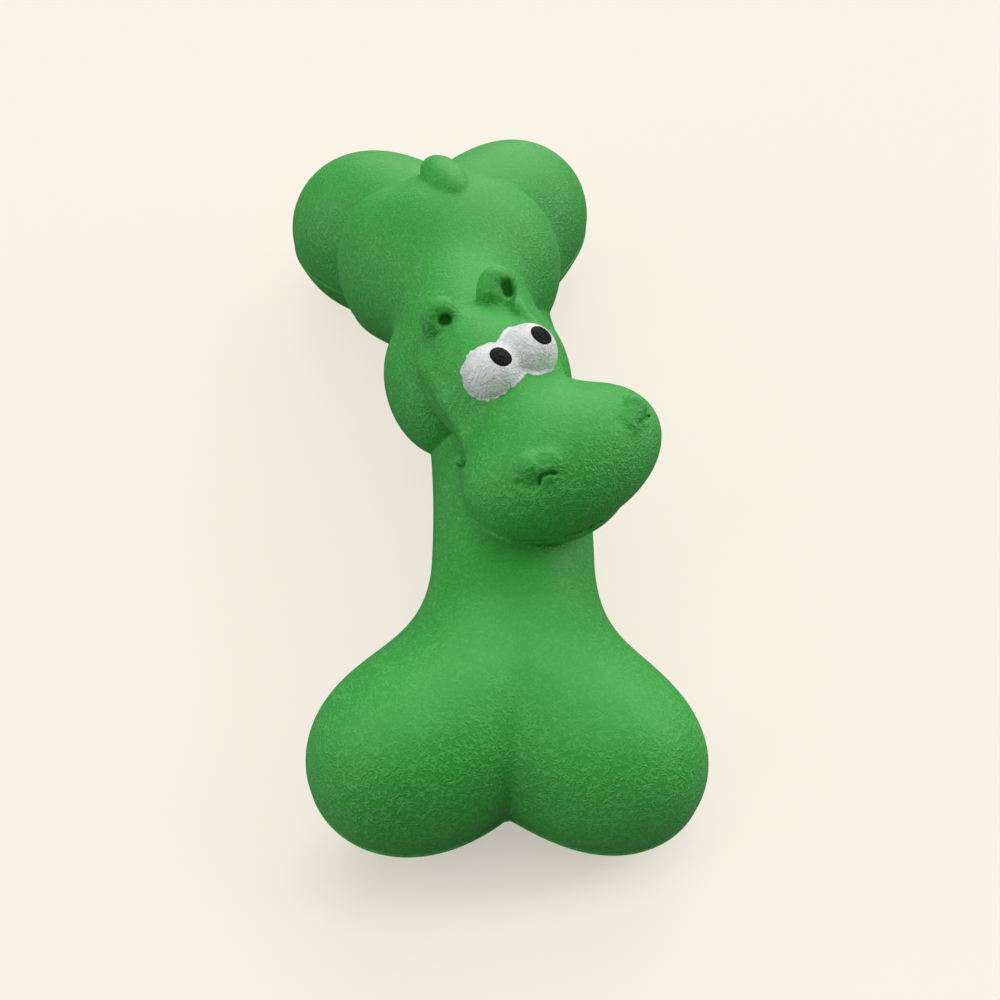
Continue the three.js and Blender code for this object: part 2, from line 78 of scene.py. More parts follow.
def without(first: np.ndarray, second: np.ndarray, width: float) -> np.ndarray:
    """Takes the second form out of the first, with a rounded edge of the given width."""
    return -joined(-first, second, width)


def within(first: np.ndarray, second: np.ndarray, width: float) -> np.ndarray:
    """Keeps what the two forms share, with a rounded edge of the given width."""
    return -joined(-first, -second, width)


def turning(turn: float, tilt: float = 0.0) -> np.ndarray:
    """Makes the matrix of a turn about the upright axis after a tilt about the cross axis.

    Args:
        turn: the turn in degrees.
        tilt: the tilt in degrees.

    Returns:
        The 3 x 3 matrix.
    """
    a, b = math.radians(turn), math.radians(tilt)
    upright = np.array([[math.cos(a), -math.sin(a), 0], [math.sin(a), math.cos(a), 0], [0, 0, 1]])
    cross = np.array([[1, 0, 0], [0, math.cos(b), -math.sin(b)], [0, math.sin(b), math.cos(b)]])
    return upright @ cross


class Shape(Protocol):
    """A form that knows how far a point is from its surface."""

    @property
    def middle(self) -> np.ndarray:
        """Its middle."""

    @property
    def reach(self) -> float:
        """Its farthest point from its middle."""

    def distance(self, points: np.ndarray) -> np.ndarray:
        """Distances of points from its surface, negative inside."""

    def rough(self) -> list[np.ndarray]:
        """The 3 x 4 matrices that turn a unit ball into the balls it starts from."""


@dataclass(frozen=True)
class Ball:
    """An ellipsoid, turned about the upright axis after a tilt about its own cross axis."""

    centre: Vec
    radii: Vec
    turn: float = 0.0
    tilt: float = 0.0

    @property
    def middle(self) -> np.ndarray:
        """Its middle."""
        return np.array(self.centre)

    @property
    def reach(self) -> float:
        """Its largest radius."""
        return max(self.radii)

    def distance(self, points: np.ndarray) -> np.ndarray:
        """Measures how far points are from its surface.

        Args:
            points: where to measure.

        Returns:
            The distances, negative inside.
        """
        local = (points - self.middle) @ turning(self.turn, self.tilt) / np.array(self.radii)
        length = np.linalg.norm(local, axis=1)
        slope = np.linalg.norm(local / np.array(self.radii), axis=1)
        return length * (length - 1) / np.maximum(slope, 1e-9)

    def rough(self) -> list[np.ndarray]:
        """The matrix that turns a unit ball into this one."""
        return [np.column_stack([turning(self.turn, self.tilt) * np.array(self.radii), self.middle])]


@dataclass(frozen=True)
class Taper:
    """A rod with round ends whose radius changes from one end to the other."""

    start: Vec
    end: Vec
    start_radius: float
    end_radius: float

    @property
    def middle(self) -> np.ndarray:
        """Halfway along it."""
        return (np.array(self.start) + np.array(self.end)) / 2

    @property
    def reach(self) -> float:
        """Half its length and its larger radius."""
        length = np.linalg.norm(np.array(self.end) - np.array(self.start))
        return float(length) / 2 + max(self.start_radius, self.end_radius)

    def distance(self, points: np.ndarray) -> np.ndarray:
        """Measures how far points are from its surface.

        Args:
            points: where to measure.

        Returns:
            The distances, negative inside.
        """
        start, along = np.array(self.start), np.array(self.end) - np.array(self.start)
        share = np.clip((points - start) @ along / (along @ along), 0, 1)
        off = np.linalg.norm(points - start - share[:, None] * along, axis=1)
        return off - (self.start_radius + (self.end_radius - self.start_radius) * share)

    def rough(self) -> list[np.ndarray]:
        """Strings balls along it.

        Returns:
            The 3 x 4 matrix of each ball.
        """
        shares = np.linspace(0, 1, max(2, round(self.reach)))
        start, end = np.array(self.start), np.array(self.end)
        return [np.column_stack([np.eye(3) * (self.start_radius * (1 - s) + self.end_radius * s),
                                 start * (1 - s) + end * s]) for s in shares]


class Blend(Enum):
    """How a shape meets what is already there."""

    ADD = "add"
    CUT = "cut"


@dataclass(frozen=True)
class Step:
    """One shape of a form, how it meets the shapes before it, and how wide the fillet is."""

    shape: Shape
    width: float = 1.0  # a form's first shape meets nothing, so it needs no other
    blend: Blend = Blend.ADD


WELD = 1e-6  # points nearer to each other than this are one, in metres
SEARCH = 9.0  # a shape farther than this from a point has no say in its place, in mm
FAR = 1000.0  # the distance to a form with no shapes yet, in mm


def blended(steps: list[Step], points: np.ndarray) -> np.ndarray:
    """Adds and cuts shapes in order.

    Args:
        steps: the shapes with their fillets.
        points: where the distance is wanted, in the shapes' own frame, in mm.

    Returns:
        Distances to the finished form.
    """
    result = np.full(len(points), FAR)
    for step in steps:
        off = np.linalg.norm(points - step.shape.middle, axis=1)
        near = off < step.shape.reach + step.width + SEARCH
        if not near.any():
            continue
        distance = step.shape.distance(points[near])
        meet = joined if step.blend is Blend.ADD else without
        result[near] = meet(result[near], distance, step.width)
    return result


# The toy's forms, in mm from the middle of the bone

@dataclass(frozen=True)
class Bone:
    """The bone: a bowed round shaft with a pair of lobes at each end."""

    spread: float = 18.15  # each lobe's centre from the middle of its pair
    reach_y: float = 66.35  # each pair of lobes from the middle of the bone
    shift: float = 0.3  # the pairs' middles to the side
    near_radii: Vec = (15.25, 14.35, 17.5)
    far_radii: Vec = (17.4, 17.25, 17.5)
    near_turn: float = -6.85
    far_turn: float = 3.65
    notches: tuple[float, float] = (1.6, 4.2)  # fillets between the near lobes and between the far ones
    shaft_radius: float = 15.5
    shaft_share: float = 0.8  # of the reach, where the shaft's round ends begin
    shaft_balls: int = 17
    set_over: float = -1.7  # where the bowed axis would end to the side
    bow: float = 9.6
    lean: float = 0.8  # how much more the far half bows than the near half
    fillet: float = 23.5

    def axis(self, y: np.ndarray) -> np.ndarray:
        """How far the bowed axis lies to the side at each y."""
        along = np.clip(y / self.reach_y, -1.0, 1.0)
        return self.set_over + (self.bow + self.lean * along) * (1 - along * along)

    def lobes(self) -> list[tuple[Ball, Ball]]:
        """Places the lobes at both ends.

        Returns:
            The near pair and the far pair, the left lobe first.
        """
        pairs = []
        for side, turn, radii in ((-1, self.near_turn, self.near_radii), (1, self.far_turn, self.far_radii)):
            arm = turning(turn)[:, 0] * self.spread
            middle = np.array([self.shift, side * self.reach_y, 0])
            pairs.append((Ball(tuple(middle - arm), radii, turn), Ball(tuple(middle + arm), radii, turn)))
        return pairs

    def distance(self, points: np.ndarray) -> np.ndarray:
        """Measures how far points are from the bone's surface.

        Args:
            points: where to measure, in mm from the middle of the bone.

        Returns:
            The distances, negative inside.
        """
        straight = points.copy()
        straight[:, 0] -= self.axis(points[:, 1])
        end = self.reach_y * self.shaft_share
        off = straight.copy()
        off[:, 1] -= np.clip(off[:, 1], -end, end)
        result = np.linalg.norm(off, axis=1) - self.shaft_radius
        for notch, (left, right) in zip(self.notches, self.lobes()):
            pair = joined(left.distance(points), right.distance(points), notch)
            result = joined(result, pair, self.fillet)
        return result

    def rough(self) -> list[np.ndarray]:
        """Strings balls along the shaft and adds the lobes.

        Returns:
            The 3 x 4 matrix of each ball that the bone starts from.
        """
        balls = []
        end = self.reach_y * self.shaft_share
        for y in np.linspace(-end, end, self.shaft_balls):
            place = (float(self.axis(np.array(y))), float(y), 0.0)
            balls += Ball(place, (self.shaft_radius,) * 3).rough()
        return balls + [ball.rough()[0] for pair in self.lobes() for ball in pair]


@dataclass(frozen=True)
class Trunk:
    """The animal's rump, thighs, trunk, forelegs and stub of a tail."""

    rump: Ball = Ball((1.6, 40.4, 10.0), (22.7, 21.0, 20.8))
    left_thigh: Ball = Ball((-12.75, 44.25, 7.5), (11.6, 13.8, 17.6))
    right_thigh: Ball = Ball((11.9, 39.95, 6.75), (9.9, 12.6, 16.9))
    chest: Taper = Taper((0, 38, 14), (2.5, 10, 17), 14.5, 13.0)
    left_foreleg: Ball = Ball((-5.3, 9.7, 7.75), (10.4, 15.2, 14.0), 11)
    right_foreleg: Ball = Ball((13.5, 12.35, 7.3), (7.9, 14.2, 14.1), 16.6)
    tail: Ball = Ball((-0.1, 46.6, 29.1), (4.3, 7.9, 3.45), 19.8, -9.0)
    thigh_fillet: float = 4.0
    chest_fillet: float = 5.0
    foreleg_fillet: float = 2.5
    tail_fillet: float = 0.4

    def steps(self) -> list[Step]:
        """Lists the shapes with their fillets.

        Returns:
            The shapes in the order that they are joined.
        """
        return [Step(self.rump), Step(self.left_thigh, self.thigh_fillet),
                Step(self.right_thigh, self.thigh_fillet), Step(self.chest, self.chest_fillet),
                Step(self.left_foreleg, self.foreleg_fillet), Step(self.right_foreleg, self.foreleg_fillet),
                Step(self.tail, self.tail_fillet)]


@dataclass(frozen=True)
class Press:
    """A spot or a line pressed into the rubber along one direction, or raised where its depth is negative."""

    path: tuple[Vec, ...]
    half_width: float
    depth: float
    inward: Vec = (0.38, -0.43, -0.82)
    steepness: float = 4.0  # a higher one gives steeper walls
    grip: float = 3.4  # only rubber this near the path moves, not the far side of an ear, in mm
    fade: float = 6.0  # beyond the half width, where nothing moves any more, in mm

    def direction(self) -> np.ndarray:
        """The pressing direction at unit length."""
        inward = np.array(self.inward)
        return inward / np.linalg.norm(inward)

    def off(self, points: np.ndarray) -> tuple[np.ndarray, np.ndarray]:
        """Measures where points lie by the path, seen along the pressing direction.

        Args:
            points: where to measure, in the path's frame.

        Returns:
            How far each point lies beside the path, and how far below it, in mm.
        """
        inward = self.direction()
        path = np.array(self.path)
        depth, path_depth = points @ inward, path @ inward
        level, path = points - depth[:, None] * inward, path - path_depth[:, None] * inward
        best, below = np.linalg.norm(level - path[0], axis=1), depth - path_depth[0]
        for start, end, start_depth, end_depth in zip(path, path[1:], path_depth, path_depth[1:]):
            along = end - start
            share = np.clip((level - start) @ along / (along @ along), 0, 1)
            aside = np.linalg.norm(level - start - share[:, None] * along, axis=1)
            below = np.where(aside < best, depth - start_depth - share * (end_depth - start_depth), below)
            best = np.minimum(best, aside)
        return best, below

    def close(self, points: np.ndarray, margin: float) -> np.ndarray:
        """Flags the points that the press moves, and those within a margin beside them, in mm."""
        aside, below = self.off(points)
        return (aside < self.half_width + margin) & (np.abs(below) < self.grip)

    def shift(self, points: np.ndarray) -> np.ndarray:
        """Works out how far the press moves points.

        Args:
            points: the points before the press, in the path's frame.

        Returns:
            Each point's move in mm.
        """
        aside, below = self.off(points)
        share = 1 / (1 + (aside / self.half_width) ** self.steepness)
        share[(aside > self.half_width + self.fade) | (np.abs(below) > self.grip)] = 0
        return self.depth * share[:, None] * self.direction()


EAR_INWARD = (0.38, -0.58, -0.72)  # into the front of an ear
RIGHT_INWARD = (0.48, -0.40, -0.78)  # into the right side of the muzzle


@dataclass(frozen=True)
class Head:
    """The head in its own frame: to the side, forward to the muzzle, and up from the middle of the bone."""

    place: Vec = (8.7, -10.1, 0.0)
    turn: float = 28.0
    skull: Ball = Ball((-0.95, -9.55, 23.3), (11.6, 16.0, 12.3))
    bridge: Ball = Ball((-1.7, 3.25, 23.05), (9.95, 14.9, 10.4))
    muzzle: Ball = Ball((-0.7, 13.6, 23.9), (19.1, 12.45, 11.8), 2.5, 1.0)
    jaw: Ball = Ball((-1.0, 9.8, 17.0), (16.2, 15.0, 7.5))
    bridge_fillet: float = 4.0
    muzzle_fillet: float = 5.0
    jaw_fillet: float = 0.3
    left_cheek: tuple[Vec, ...] = ((-6.5, -20.2, 27.9), (-10.1, -14.7, 27.6), (-11.35, -5.7, 26.8),
                                   (-12.4, 3.3, 24.5))
    right_cheek: tuple[Vec, ...] = ((7.1, -22.8, 28.1), (11.1, -17.3, 27.7), (11.7, -8.3, 26.9),
                                    (8.8, -1.5, 25.5))
    cheek_radius: float = 1.2
    cheek_fillet: float = 2.6
    mouth_corner: Vec = (13.7, 1.7, 20.2)
    corner_radius: float = 1.6
    corner_fillet: float = 0.8
    mouth_dimple: Vec = (15.2, 3.2, 19.7)
    dimple_radius: float = 1.0
    dimple_edge: float = 0.4
    mouth_radius: float = 0.42
    mouth_edge: float = 0.25
    ears: tuple[Ball, ...] = (Ball((-5.0, -18.3, 33.0), (3.9, 3.2, 4.4), 0, 20),
                              Ball((7.5, -18.9, 33.3), (3.9, 3.2, 4.4), 0, 20))
    ear_fillet: float = 2.0
    ear_lobe: Ball = Ball((5.1, -18.2, 34.1), (2.1, 1.9, 2.2))
    lobe_fillet: float = 1.0
    eye_balls: tuple[Ball, Ball] = (Ball((-4.45, -3.05, 32.8), (5.0,) * 3), Ball((3.5, -3.4, 33.0), (5.0,) * 3))
    eye_fillet: float = 1.6  # between the two eyes
    socket_fillet: float = 0.5  # between the eyes and the face
    white_reach: float = 0.3  # how far off the eyes' balls the white paint ends
    gazes: tuple[Vec, Vec] = ((0.235, 0.170, 0.957), (0.364, 0.201, 0.909))
    pupil_radius: float = 2.08
    nostril_bumps: tuple[Taper, ...] = (Taper((-7.4, 17.4, 32.8), (-10.2, 16.3, 32.7), 2.2, 2.3),
                                        Taper((8.3, 18.4, 32.1), (11.4, 16.0, 32.6), 1.8, 2.3))
    nostril_fillet: float = 1.2
    presses: tuple[Press, ...] = (
        Press(((-5.9, -16.1, 35.35),), 1.9, 0.8, EAR_INWARD, 3.0),  # bowl of the left ear
        Press(((-5.9, -16.1, 35.35), (-5.45, -15.95, 35.3)), 0.85, 2.6, EAR_INWARD, 6.0),  # its hole
        Press(((-7.9, -15.2, 32.6),), 1.0, 0.5, EAR_INWARD),  # dent at its foot
        Press(((7.85, -16.5, 35.6), (7.85, -16.2, 35.05)), 1.6, 0.6, EAR_INWARD, 4.0),  # bowl of the right ear
        Press(((7.85, -16.7, 35.85), (7.9, -16.05, 34.7)), 0.85, 2.6, EAR_INWARD, 6.0),  # its hole
        Press(((-10.8, 19.6, 32.3), (-10.6, 19.2, 33.1), (-10.0, 19.15, 33.4), (-9.0, 19.4, 33.5),
               (-7.9, 19.95, 33.3)), 0.25, 1.2),  # slit of the left nostril
        Press(((-8.9, 19.9, 32.6),), 0.8, -0.45),  # swelling under the slit
        Press(((-13.4, 17.7, 32.0), (-11.9, 19.5, 31.6)), 0.6, 0.35),  # crease beside it
        Press(((-8.9, 17.3, 34.6), (-7.9, 17.7, 34.5)), 0.95, 0.22, steepness=8.0),  # flat on top of its bump
        Press(((10.9, 18.7, 31.5), (11.8, 18.8, 32.3), (13.0, 18.4, 31.6)), 0.25, 1.2,
              RIGHT_INWARD),  # slit of the right nostril
        Press(((11.6, 19.4, 31.6),), 0.6, -0.3, RIGHT_INWARD),  # swelling under the slit
        Press(((6.7, 18.0, 34.2), (7.5, 19.4, 33.6)), 0.85, 0.35, RIGHT_INWARD, 3.0),  # crease beside it
        Press(((11.2, 16.9, 34.8), (12.9, 17.4, 33.4)), 0.85, 0.2, RIGHT_INWARD))  # flat on top of its bump

    def basis(self) -> np.ndarray:
        """The head's side, forward and up directions as columns."""
        a = math.radians(self.turn)
        return np.array([[math.cos(a), math.sin(a), 0], [math.sin(a), -math.cos(a), 0], [0, 0, 1.0]])

    def local(self, points: np.ndarray) -> np.ndarray:
        """Points in the head's own frame."""
        return (points - np.array(self.place)) @ self.basis()

    def core_steps(self) -> list[Step]:
        """The face without its small features, which the lining follows."""
        return [Step(self.skull), Step(self.bridge, self.bridge_fillet), Step(self.muzzle, self.muzzle_fillet),
                Step(self.jaw, self.jaw_fillet)]

    def face_steps(self) -> list[Step]:
        """Puts the face together without its eyes.

        Returns:
            Its shapes in the order that they are joined or cut.
        """
        steps = self.core_steps()
        for side, line in ((-1, self.left_cheek), (1, self.right_cheek)):
            steps += [Step(Taper(a, b, self.cheek_radius, self.cheek_radius), self.cheek_fillet)
                      for a, b in zip(line, line[1:])]
            x, y, z = self.mouth_corner
            steps.append(Step(Ball((side * x, y, z), (self.corner_radius,) * 3), self.corner_fillet))
            x, y, z = self.mouth_dimple
            steps.append(Step(Ball((side * x, y, z), (self.dimple_radius,) * 3), self.dimple_edge, Blend.CUT))
        steps += [Step(ear, self.ear_fillet) for ear in self.ears]
        steps.append(Step(self.ear_lobe, self.lobe_fillet))
        return steps + [Step(bump, self.nostril_fillet) for bump in self.nostril_bumps]

    def eyes(self, local: np.ndarray) -> np.ndarray:
        """Distances of points in the head's frame from the pair of eyes."""
        left, right = self.eye_balls
        return joined(left.distance(local), right.distance(local), self.eye_fillet)

    def off_mouth(self, local: np.ndarray) -> np.ndarray:
        """Distances of points from the line on which the muzzle meets the jaw."""
        return np.hypot(self.muzzle.distance(local), self.jaw.distance(local))

    def distance(self, local: np.ndarray) -> np.ndarray:
        """Measures how far points are from the whole head.

        Args:
            local: where to measure, in the head's frame.

        Returns:
            The distances, negative inside.
        """
        face = without(blended(self.face_steps(), local), self.off_mouth(local) - self.mouth_radius,
                       self.mouth_edge)
        return joined(face, self.eyes(local), self.socket_fillet)

    def rough(self) -> list[np.ndarray]:
        """Matrices, in the head's frame, of the balls that the head starts from."""
        shapes = [step.shape for step in self.face_steps() if step.blend is Blend.ADD]
        return [matrix for shape in [*shapes, *self.eye_balls] for matrix in shape.rough()]


@dataclass(frozen=True)
class ToyForm:
    """The whole outside of the toy: the bone with the animal lying over it."""

    bone: Bone = Bone()
    trunk: Trunk = Trunk()
    head: Head = Head()
    underside: float = -6.0  # the height at which the animal's limbs end on the bone
    underside_edge: float = 4.0
    crease: float = 0.4  # fillet between the animal, its head and the bone
    lining_crease: float = 4.0  # the same in the lining
    rest_edge: float = 1.2  # rounding round the flats that the toy lies on

    def distance(self, points: np.ndarray) -> np.ndarray:
        """Returns the distances of points in mm from the toy's outside, negative inside."""
        head = self.head.distance(self.head.local(points))
        return self.with_head(points, head, self.crease)

    def core(self, points: np.ndarray) -> np.ndarray:
        """Returns the distances of points from the toy without its small features, in wide fillets."""
        head = blended(self.head.core_steps(), self.head.local(points))
        return self.with_head(points, head, self.lining_crease)

    def with_head(self, points: np.ndarray, head: np.ndarray, crease: float) -> np.ndarray:
        """Joins the trunk, a head and the bone.

        Args:
            points: where the distance is wanted, in mm from the middle of the bone.
            head: distances of the points from the head.
            crease: width of the fillets between the three.

        Returns:
            Distances to the joined forms, which end flat on the surface that they lie on.
        """
        animal = joined(blended(self.trunk.steps(), points), head, crease)
        animal = within(animal, self.underside - points[:, 2], self.underside_edge)
        whole = joined(self.bone.distance(points), animal, crease)
        return within(whole, -REST_HEIGHT - points[:, 2], self.rest_edge)

    def rough(self) -> list[np.ndarray]:
        """Puts together what the toy starts from.

        Returns:
            The 3 x 4 matrix of each ball.
        """
        balls = self.bone.rough()
        for step in self.trunk.steps():
            balls += step.shape.rough()
        for matrix in self.head.rough():
            turned = self.head.basis() @ matrix
            turned[:, 1] *= -1
            turned[:, 3] += np.array(self.head.place)
            balls.append(turned)
        return balls


# Work on meshes

@dataclass(frozen=True)
class Bench:
    """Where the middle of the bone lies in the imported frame, in mm."""

    origin: Vec

    def to_mm(self, places: np.ndarray) -> np.ndarray:
        """Places in metres in the frame as mm from the middle of the bone."""
        return places / MM - np.array(self.origin)

    def to_frame(self, points: np.ndarray) -> np.ndarray:
        """Points in mm from the middle of the bone as metres in the frame."""
        return (points + np.array(self.origin)) * MM

    def read(self, piece: bpy.types.Object) -> np.ndarray:
        """Reads a piece's vertices.

        Args:
            piece: the object to read.

        Returns:
            Its vertices in mm from the middle of the bone.
        """
        places = np.empty(len(piece.data.vertices) * 3, dtype=np.float32)
        piece.data.vertices.foreach_get("co", places)
        return self.to_mm(places.reshape(-1, 3).astype(float))

    def write(self, piece: bpy.types.Object, points: np.ndarray) -> None:
        """Moves a piece's vertices.

        Args:
            piece: the object to change.
            points: where its vertices go, in mm from the middle of the bone.
        """
        places = self.to_frame(points).astype(np.float32).ravel()
        piece.data.vertices.foreach_set("co", places)
        piece.data.update()


def take(piece: bpy.types.Object) -> None:
    """Makes a piece the only selected object, and the active one.

    Args:
        piece: the object to select.
    """
    bpy.ops.object.select_all(action="DESELECT")
    piece.select_set(True)
    bpy.context.view_layer.objects.active = piece


def apply_modifier(piece: bpy.types.Object, kind: str, **settings: object) -> None:
    """Adds a modifier to a piece and applies it.

    Args:
        piece: the object to change.
        kind: the modifier's type.
        settings: properties of the modifier.
    """
    take(piece)
    modifier = piece.modifiers.new(kind.title(), kind)
    for key, value in settings.items():
        setattr(modifier, key, value)
    bpy.ops.object.modifier_apply(modifier=modifier.name)


def select_faces(piece: bpy.types.Object, chosen: np.ndarray) -> None:
    """Selects some faces of a piece and nothing else.

    Args:
        piece: the object.
        chosen: a flag for each face.
    """
    mesh = piece.data
    mesh.vertices.foreach_set("select", np.zeros(len(mesh.vertices), dtype=bool))
    mesh.edges.foreach_set("select", np.zeros(len(mesh.edges), dtype=bool))
    mesh.polygons.foreach_set("select", chosen.astype(bool))


def edit(piece: bpy.types.Object, work: Callable[[], object], mode: str = "FACE") -> None:
    """Runs one edit-mode operator on what is selected in a piece.

    Args:
        piece: the object to edit.
        work: the operator call.
        mode: VERT, EDGE or FACE.
    """
    take(piece)
    flags = (mode == "VERT", mode == "EDGE", mode == "FACE")
    bpy.context.tool_settings.mesh_select_mode = flags
    bpy.ops.object.mode_set(mode="EDIT")
    work()
    bpy.ops.object.mode_set(mode="OBJECT")


def face_middles(bench: Bench, piece: bpy.types.Object) -> np.ndarray:
    """Reads the middles of a piece's faces.

    Args:
        bench: where the middle of the bone lies.
        piece: the object to read.

    Returns:
        The middles in mm from the middle of the bone.
    """
    places = np.empty(len(piece.data.polygons) * 3, dtype=np.float32)
    piece.data.polygons.foreach_get("center", places)
    return bench.to_mm(places.reshape(-1, 3).astype(float))


LEAST_SQUARE = 0.05  # keeps a step finite where a field is nearly level


def slope_of(form: Callable[[np.ndarray], np.ndarray], points: np.ndarray,
             span: float = 0.05) -> tuple[np.ndarray, np.ndarray]:
    """Measures a field's value and slope at points.

    Args:
        form: the distance field.
        points: where to measure, in mm.
        span: how far from each point the samples lie, in mm.

    Returns:
        The field's values and its gradients.
    """
    corners = np.array([[1, -1, -1], [-1, -1, 1], [-1, 1, -1], [1, 1, 1]]) * span
    values = [form(points + corner) for corner in corners]
    gradient = sum(corner * value[:, None] for corner, value in zip(corners, values)) / (4 * span * span)
    return sum(values) / 4, gradient


def drawn_onto(form: Callable[[np.ndarray], np.ndarray], points: np.ndarray, rounds: int,
               height: float = 0.0, stride: float = 1.5) -> np.ndarray:
    """Moves points along a field's slope until they lie at a height over its surface.

    Args:
        form: the distance field.
        points: the points in mm.
        rounds: how many times they move.
        height: the distance from the surface that is wanted.
        stride: the farthest that a point moves in one round.

    Returns:
        The moved points.
    """
    for _ in range(rounds):
        value, gradient = slope_of(form, points)
        square = np.maximum((gradient * gradient).sum(axis=1), LEAST_SQUARE)
        move = np.clip((value - height) / square, -stride, stride)
        points = points - gradient * move[:, None]
    return points


def duplicate(piece: bpy.types.Object, name: str) -> bpy.types.Object:
    """Copies a piece.

    Args:
        piece: the object to copy.
        name: the copy's name.

    Returns:
        The copy, with its own mesh.
    """
    made = piece.copy()
    made.data = piece.data.copy()
    made.name = made.data.name = name
    bpy.context.scene.collection.objects.link(made)
    return made


def drop(piece: bpy.types.Object) -> None:
    """Removes a piece and its mesh.

    Args:
        piece: the object to remove.
    """
    mesh = piece.data
    bpy.data.objects.remove(piece)
    bpy.data.meshes.remove(mesh)


def smooth_shade(piece: bpy.types.Object) -> None:
    """Gives every face of a piece smooth shading."""
    piece.data.polygons.foreach_set("use_smooth", np.ones(len(piece.data.polygons), dtype=bool))
    piece.data.update()


class Keep(Enum):
    """What a level cut leaves of a piece."""

    BOTH = "both"
    ABOVE = "above"
    BELOW = "below"


def cut_level(bench: Bench, piece: bpy.types.Object, height: float, keep: Keep, fill: bool = False) -> None:
    """Cuts a piece on a level plane.

    Args:
        bench: where the middle of the bone lies.
        piece: the object to cut.
        height: the plane's height in mm from the middle of the bone.
        keep: which side of the plane stays.
        fill: whether the cut is closed with a face.
    """
    select_faces(piece, np.ones(len(piece.data.polygons)))
    level = bench.to_frame(np.array([0, 0, height]))
    edit(piece, lambda: bpy.ops.mesh.bisect(plane_co=tuple(level), plane_no=(0, 0, 1), use_fill=fill,
                                            clear_inner=keep is Keep.ABOVE, clear_outer=keep is Keep.BELOW,
                                            threshold=WELD))


def remesh(piece: bpy.types.Object, voxel: float) -> None:
    """Gives a closed piece an even new mesh.

    Args:
        piece: the object to change.
        voxel: the size of a face, in mm.
    """
    apply_modifier(piece, "REMESH", mode="VOXEL", voxel_size=voxel * MM, adaptivity=0.0)


def settle(bench: Bench, piece: bpy.types.Object, form: Callable[[np.ndarray], np.ndarray], rounds: int,
           smoothing: int, height: float = 0.0) -> None:
    """Evens a piece's mesh out and draws it onto a form.

    Args:
        bench: where the middle of the bone lies.
        piece: the object to move.
        form: the distance field.
        rounds: how many times the vertices are drawn.
        smoothing: how many times they are evened out first.
        height: the distance from the form that is wanted, in mm.
    """
    piece.data.polygons.foreach_set("select", np.ones(len(piece.data.polygons), dtype=bool))
    piece.data.vertices.foreach_set("select", np.ones(len(piece.data.vertices), dtype=bool))
    edit(piece, lambda: bpy.ops.mesh.vertices_smooth(factor=0.5, repeat=smoothing))
    bench.write(piece, drawn_onto(form, bench.read(piece), rounds, height))


def refine(bench: Bench, piece: bpy.types.Object, wanted: Callable[[np.ndarray], np.ndarray]) -> None:
    """Halves the edges of the faces that a test picks out.

    Args:
        bench: where the middle of the bone lies.
        piece: the object to change.
        wanted: the test of the faces' middles, in mm.
    """
    select_faces(piece, wanted(face_middles(bench, piece)))
    edit(piece, lambda: bpy.ops.mesh.subdivide(number_cuts=1, smoothness=0.0))


def combine(piece: bpy.types.Object, tool: bpy.types.Object, operation: str) -> None:
    """Adds a closed tool to a closed piece or takes it away, and drops the tool.

    Args:
        piece: the object to change.
        tool: the closed object that is used up.
        operation: UNION or DIFFERENCE.
    """
    apply_modifier(piece, "BOOLEAN", object=tool, operation=operation, solver="MANIFOLD")
    drop(tool)


def finish_piece(piece: bpy.types.Object, material: bpy.types.Material, node: str) -> None:
    """Gives a piece its finish and ties it to the frame.

    Args:
        piece: the finished object.
        material: its finish.
        node: the CAD node that it stands for.
    """
    piece.data.materials.clear()
    piece.data.materials.append(material)
    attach(piece, "toy")
    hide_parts(node)


# Finishes

def linear(hex_colour: str, alpha: float = 1.0) -> tuple[float, float, float, float]:
    """Turns an sRGB hex colour into linear values.

    Args:
        hex_colour: the colour as #RRGGBB.
        alpha: the fourth value.

    Returns:
        Red, green, blue and alpha.
    """
    channels = [int(hex_colour.lstrip("#")[i:i + 2], 16) / 255 for i in (0, 2, 4)]
    values = [c / 12.92 if c <= 0.04045 else ((c + 0.055) / 1.055) ** 2.4 for c in channels]
    return (values[0], values[1], values[2], alpha)


def add_node(tree: bpy.types.NodeTree, kind: str, inputs: dict[str | int, object] | None = None,
             **settings: object) -> bpy.types.Node:
    """Adds a node with its settings and links.

    Args:
        tree: the material's or world's tree.
        kind: the node's type.
        inputs: a value or an output socket for each named or numbered input.
        settings: properties of the node itself.

    Returns:
        The new node.
    """
    made = tree.nodes.new(kind)
    for key, value in settings.items():
        setattr(made, key, value)
    for key, value in (inputs or {}).items():
        if isinstance(value, bpy.types.NodeSocket):
            tree.links.new(value, made.inputs[key])
        else:
            made.inputs[key].default_value = value
    return made


def fresh_material(name: str) -> bpy.types.Material:
    """Adds a material with an empty node tree.

    Args:
        name: the material's name.

    Returns:
        The material.
    """
    material = bpy.data.materials.new(name)
    material.use_nodes = True
    material.node_tree.nodes.clear()
    return material


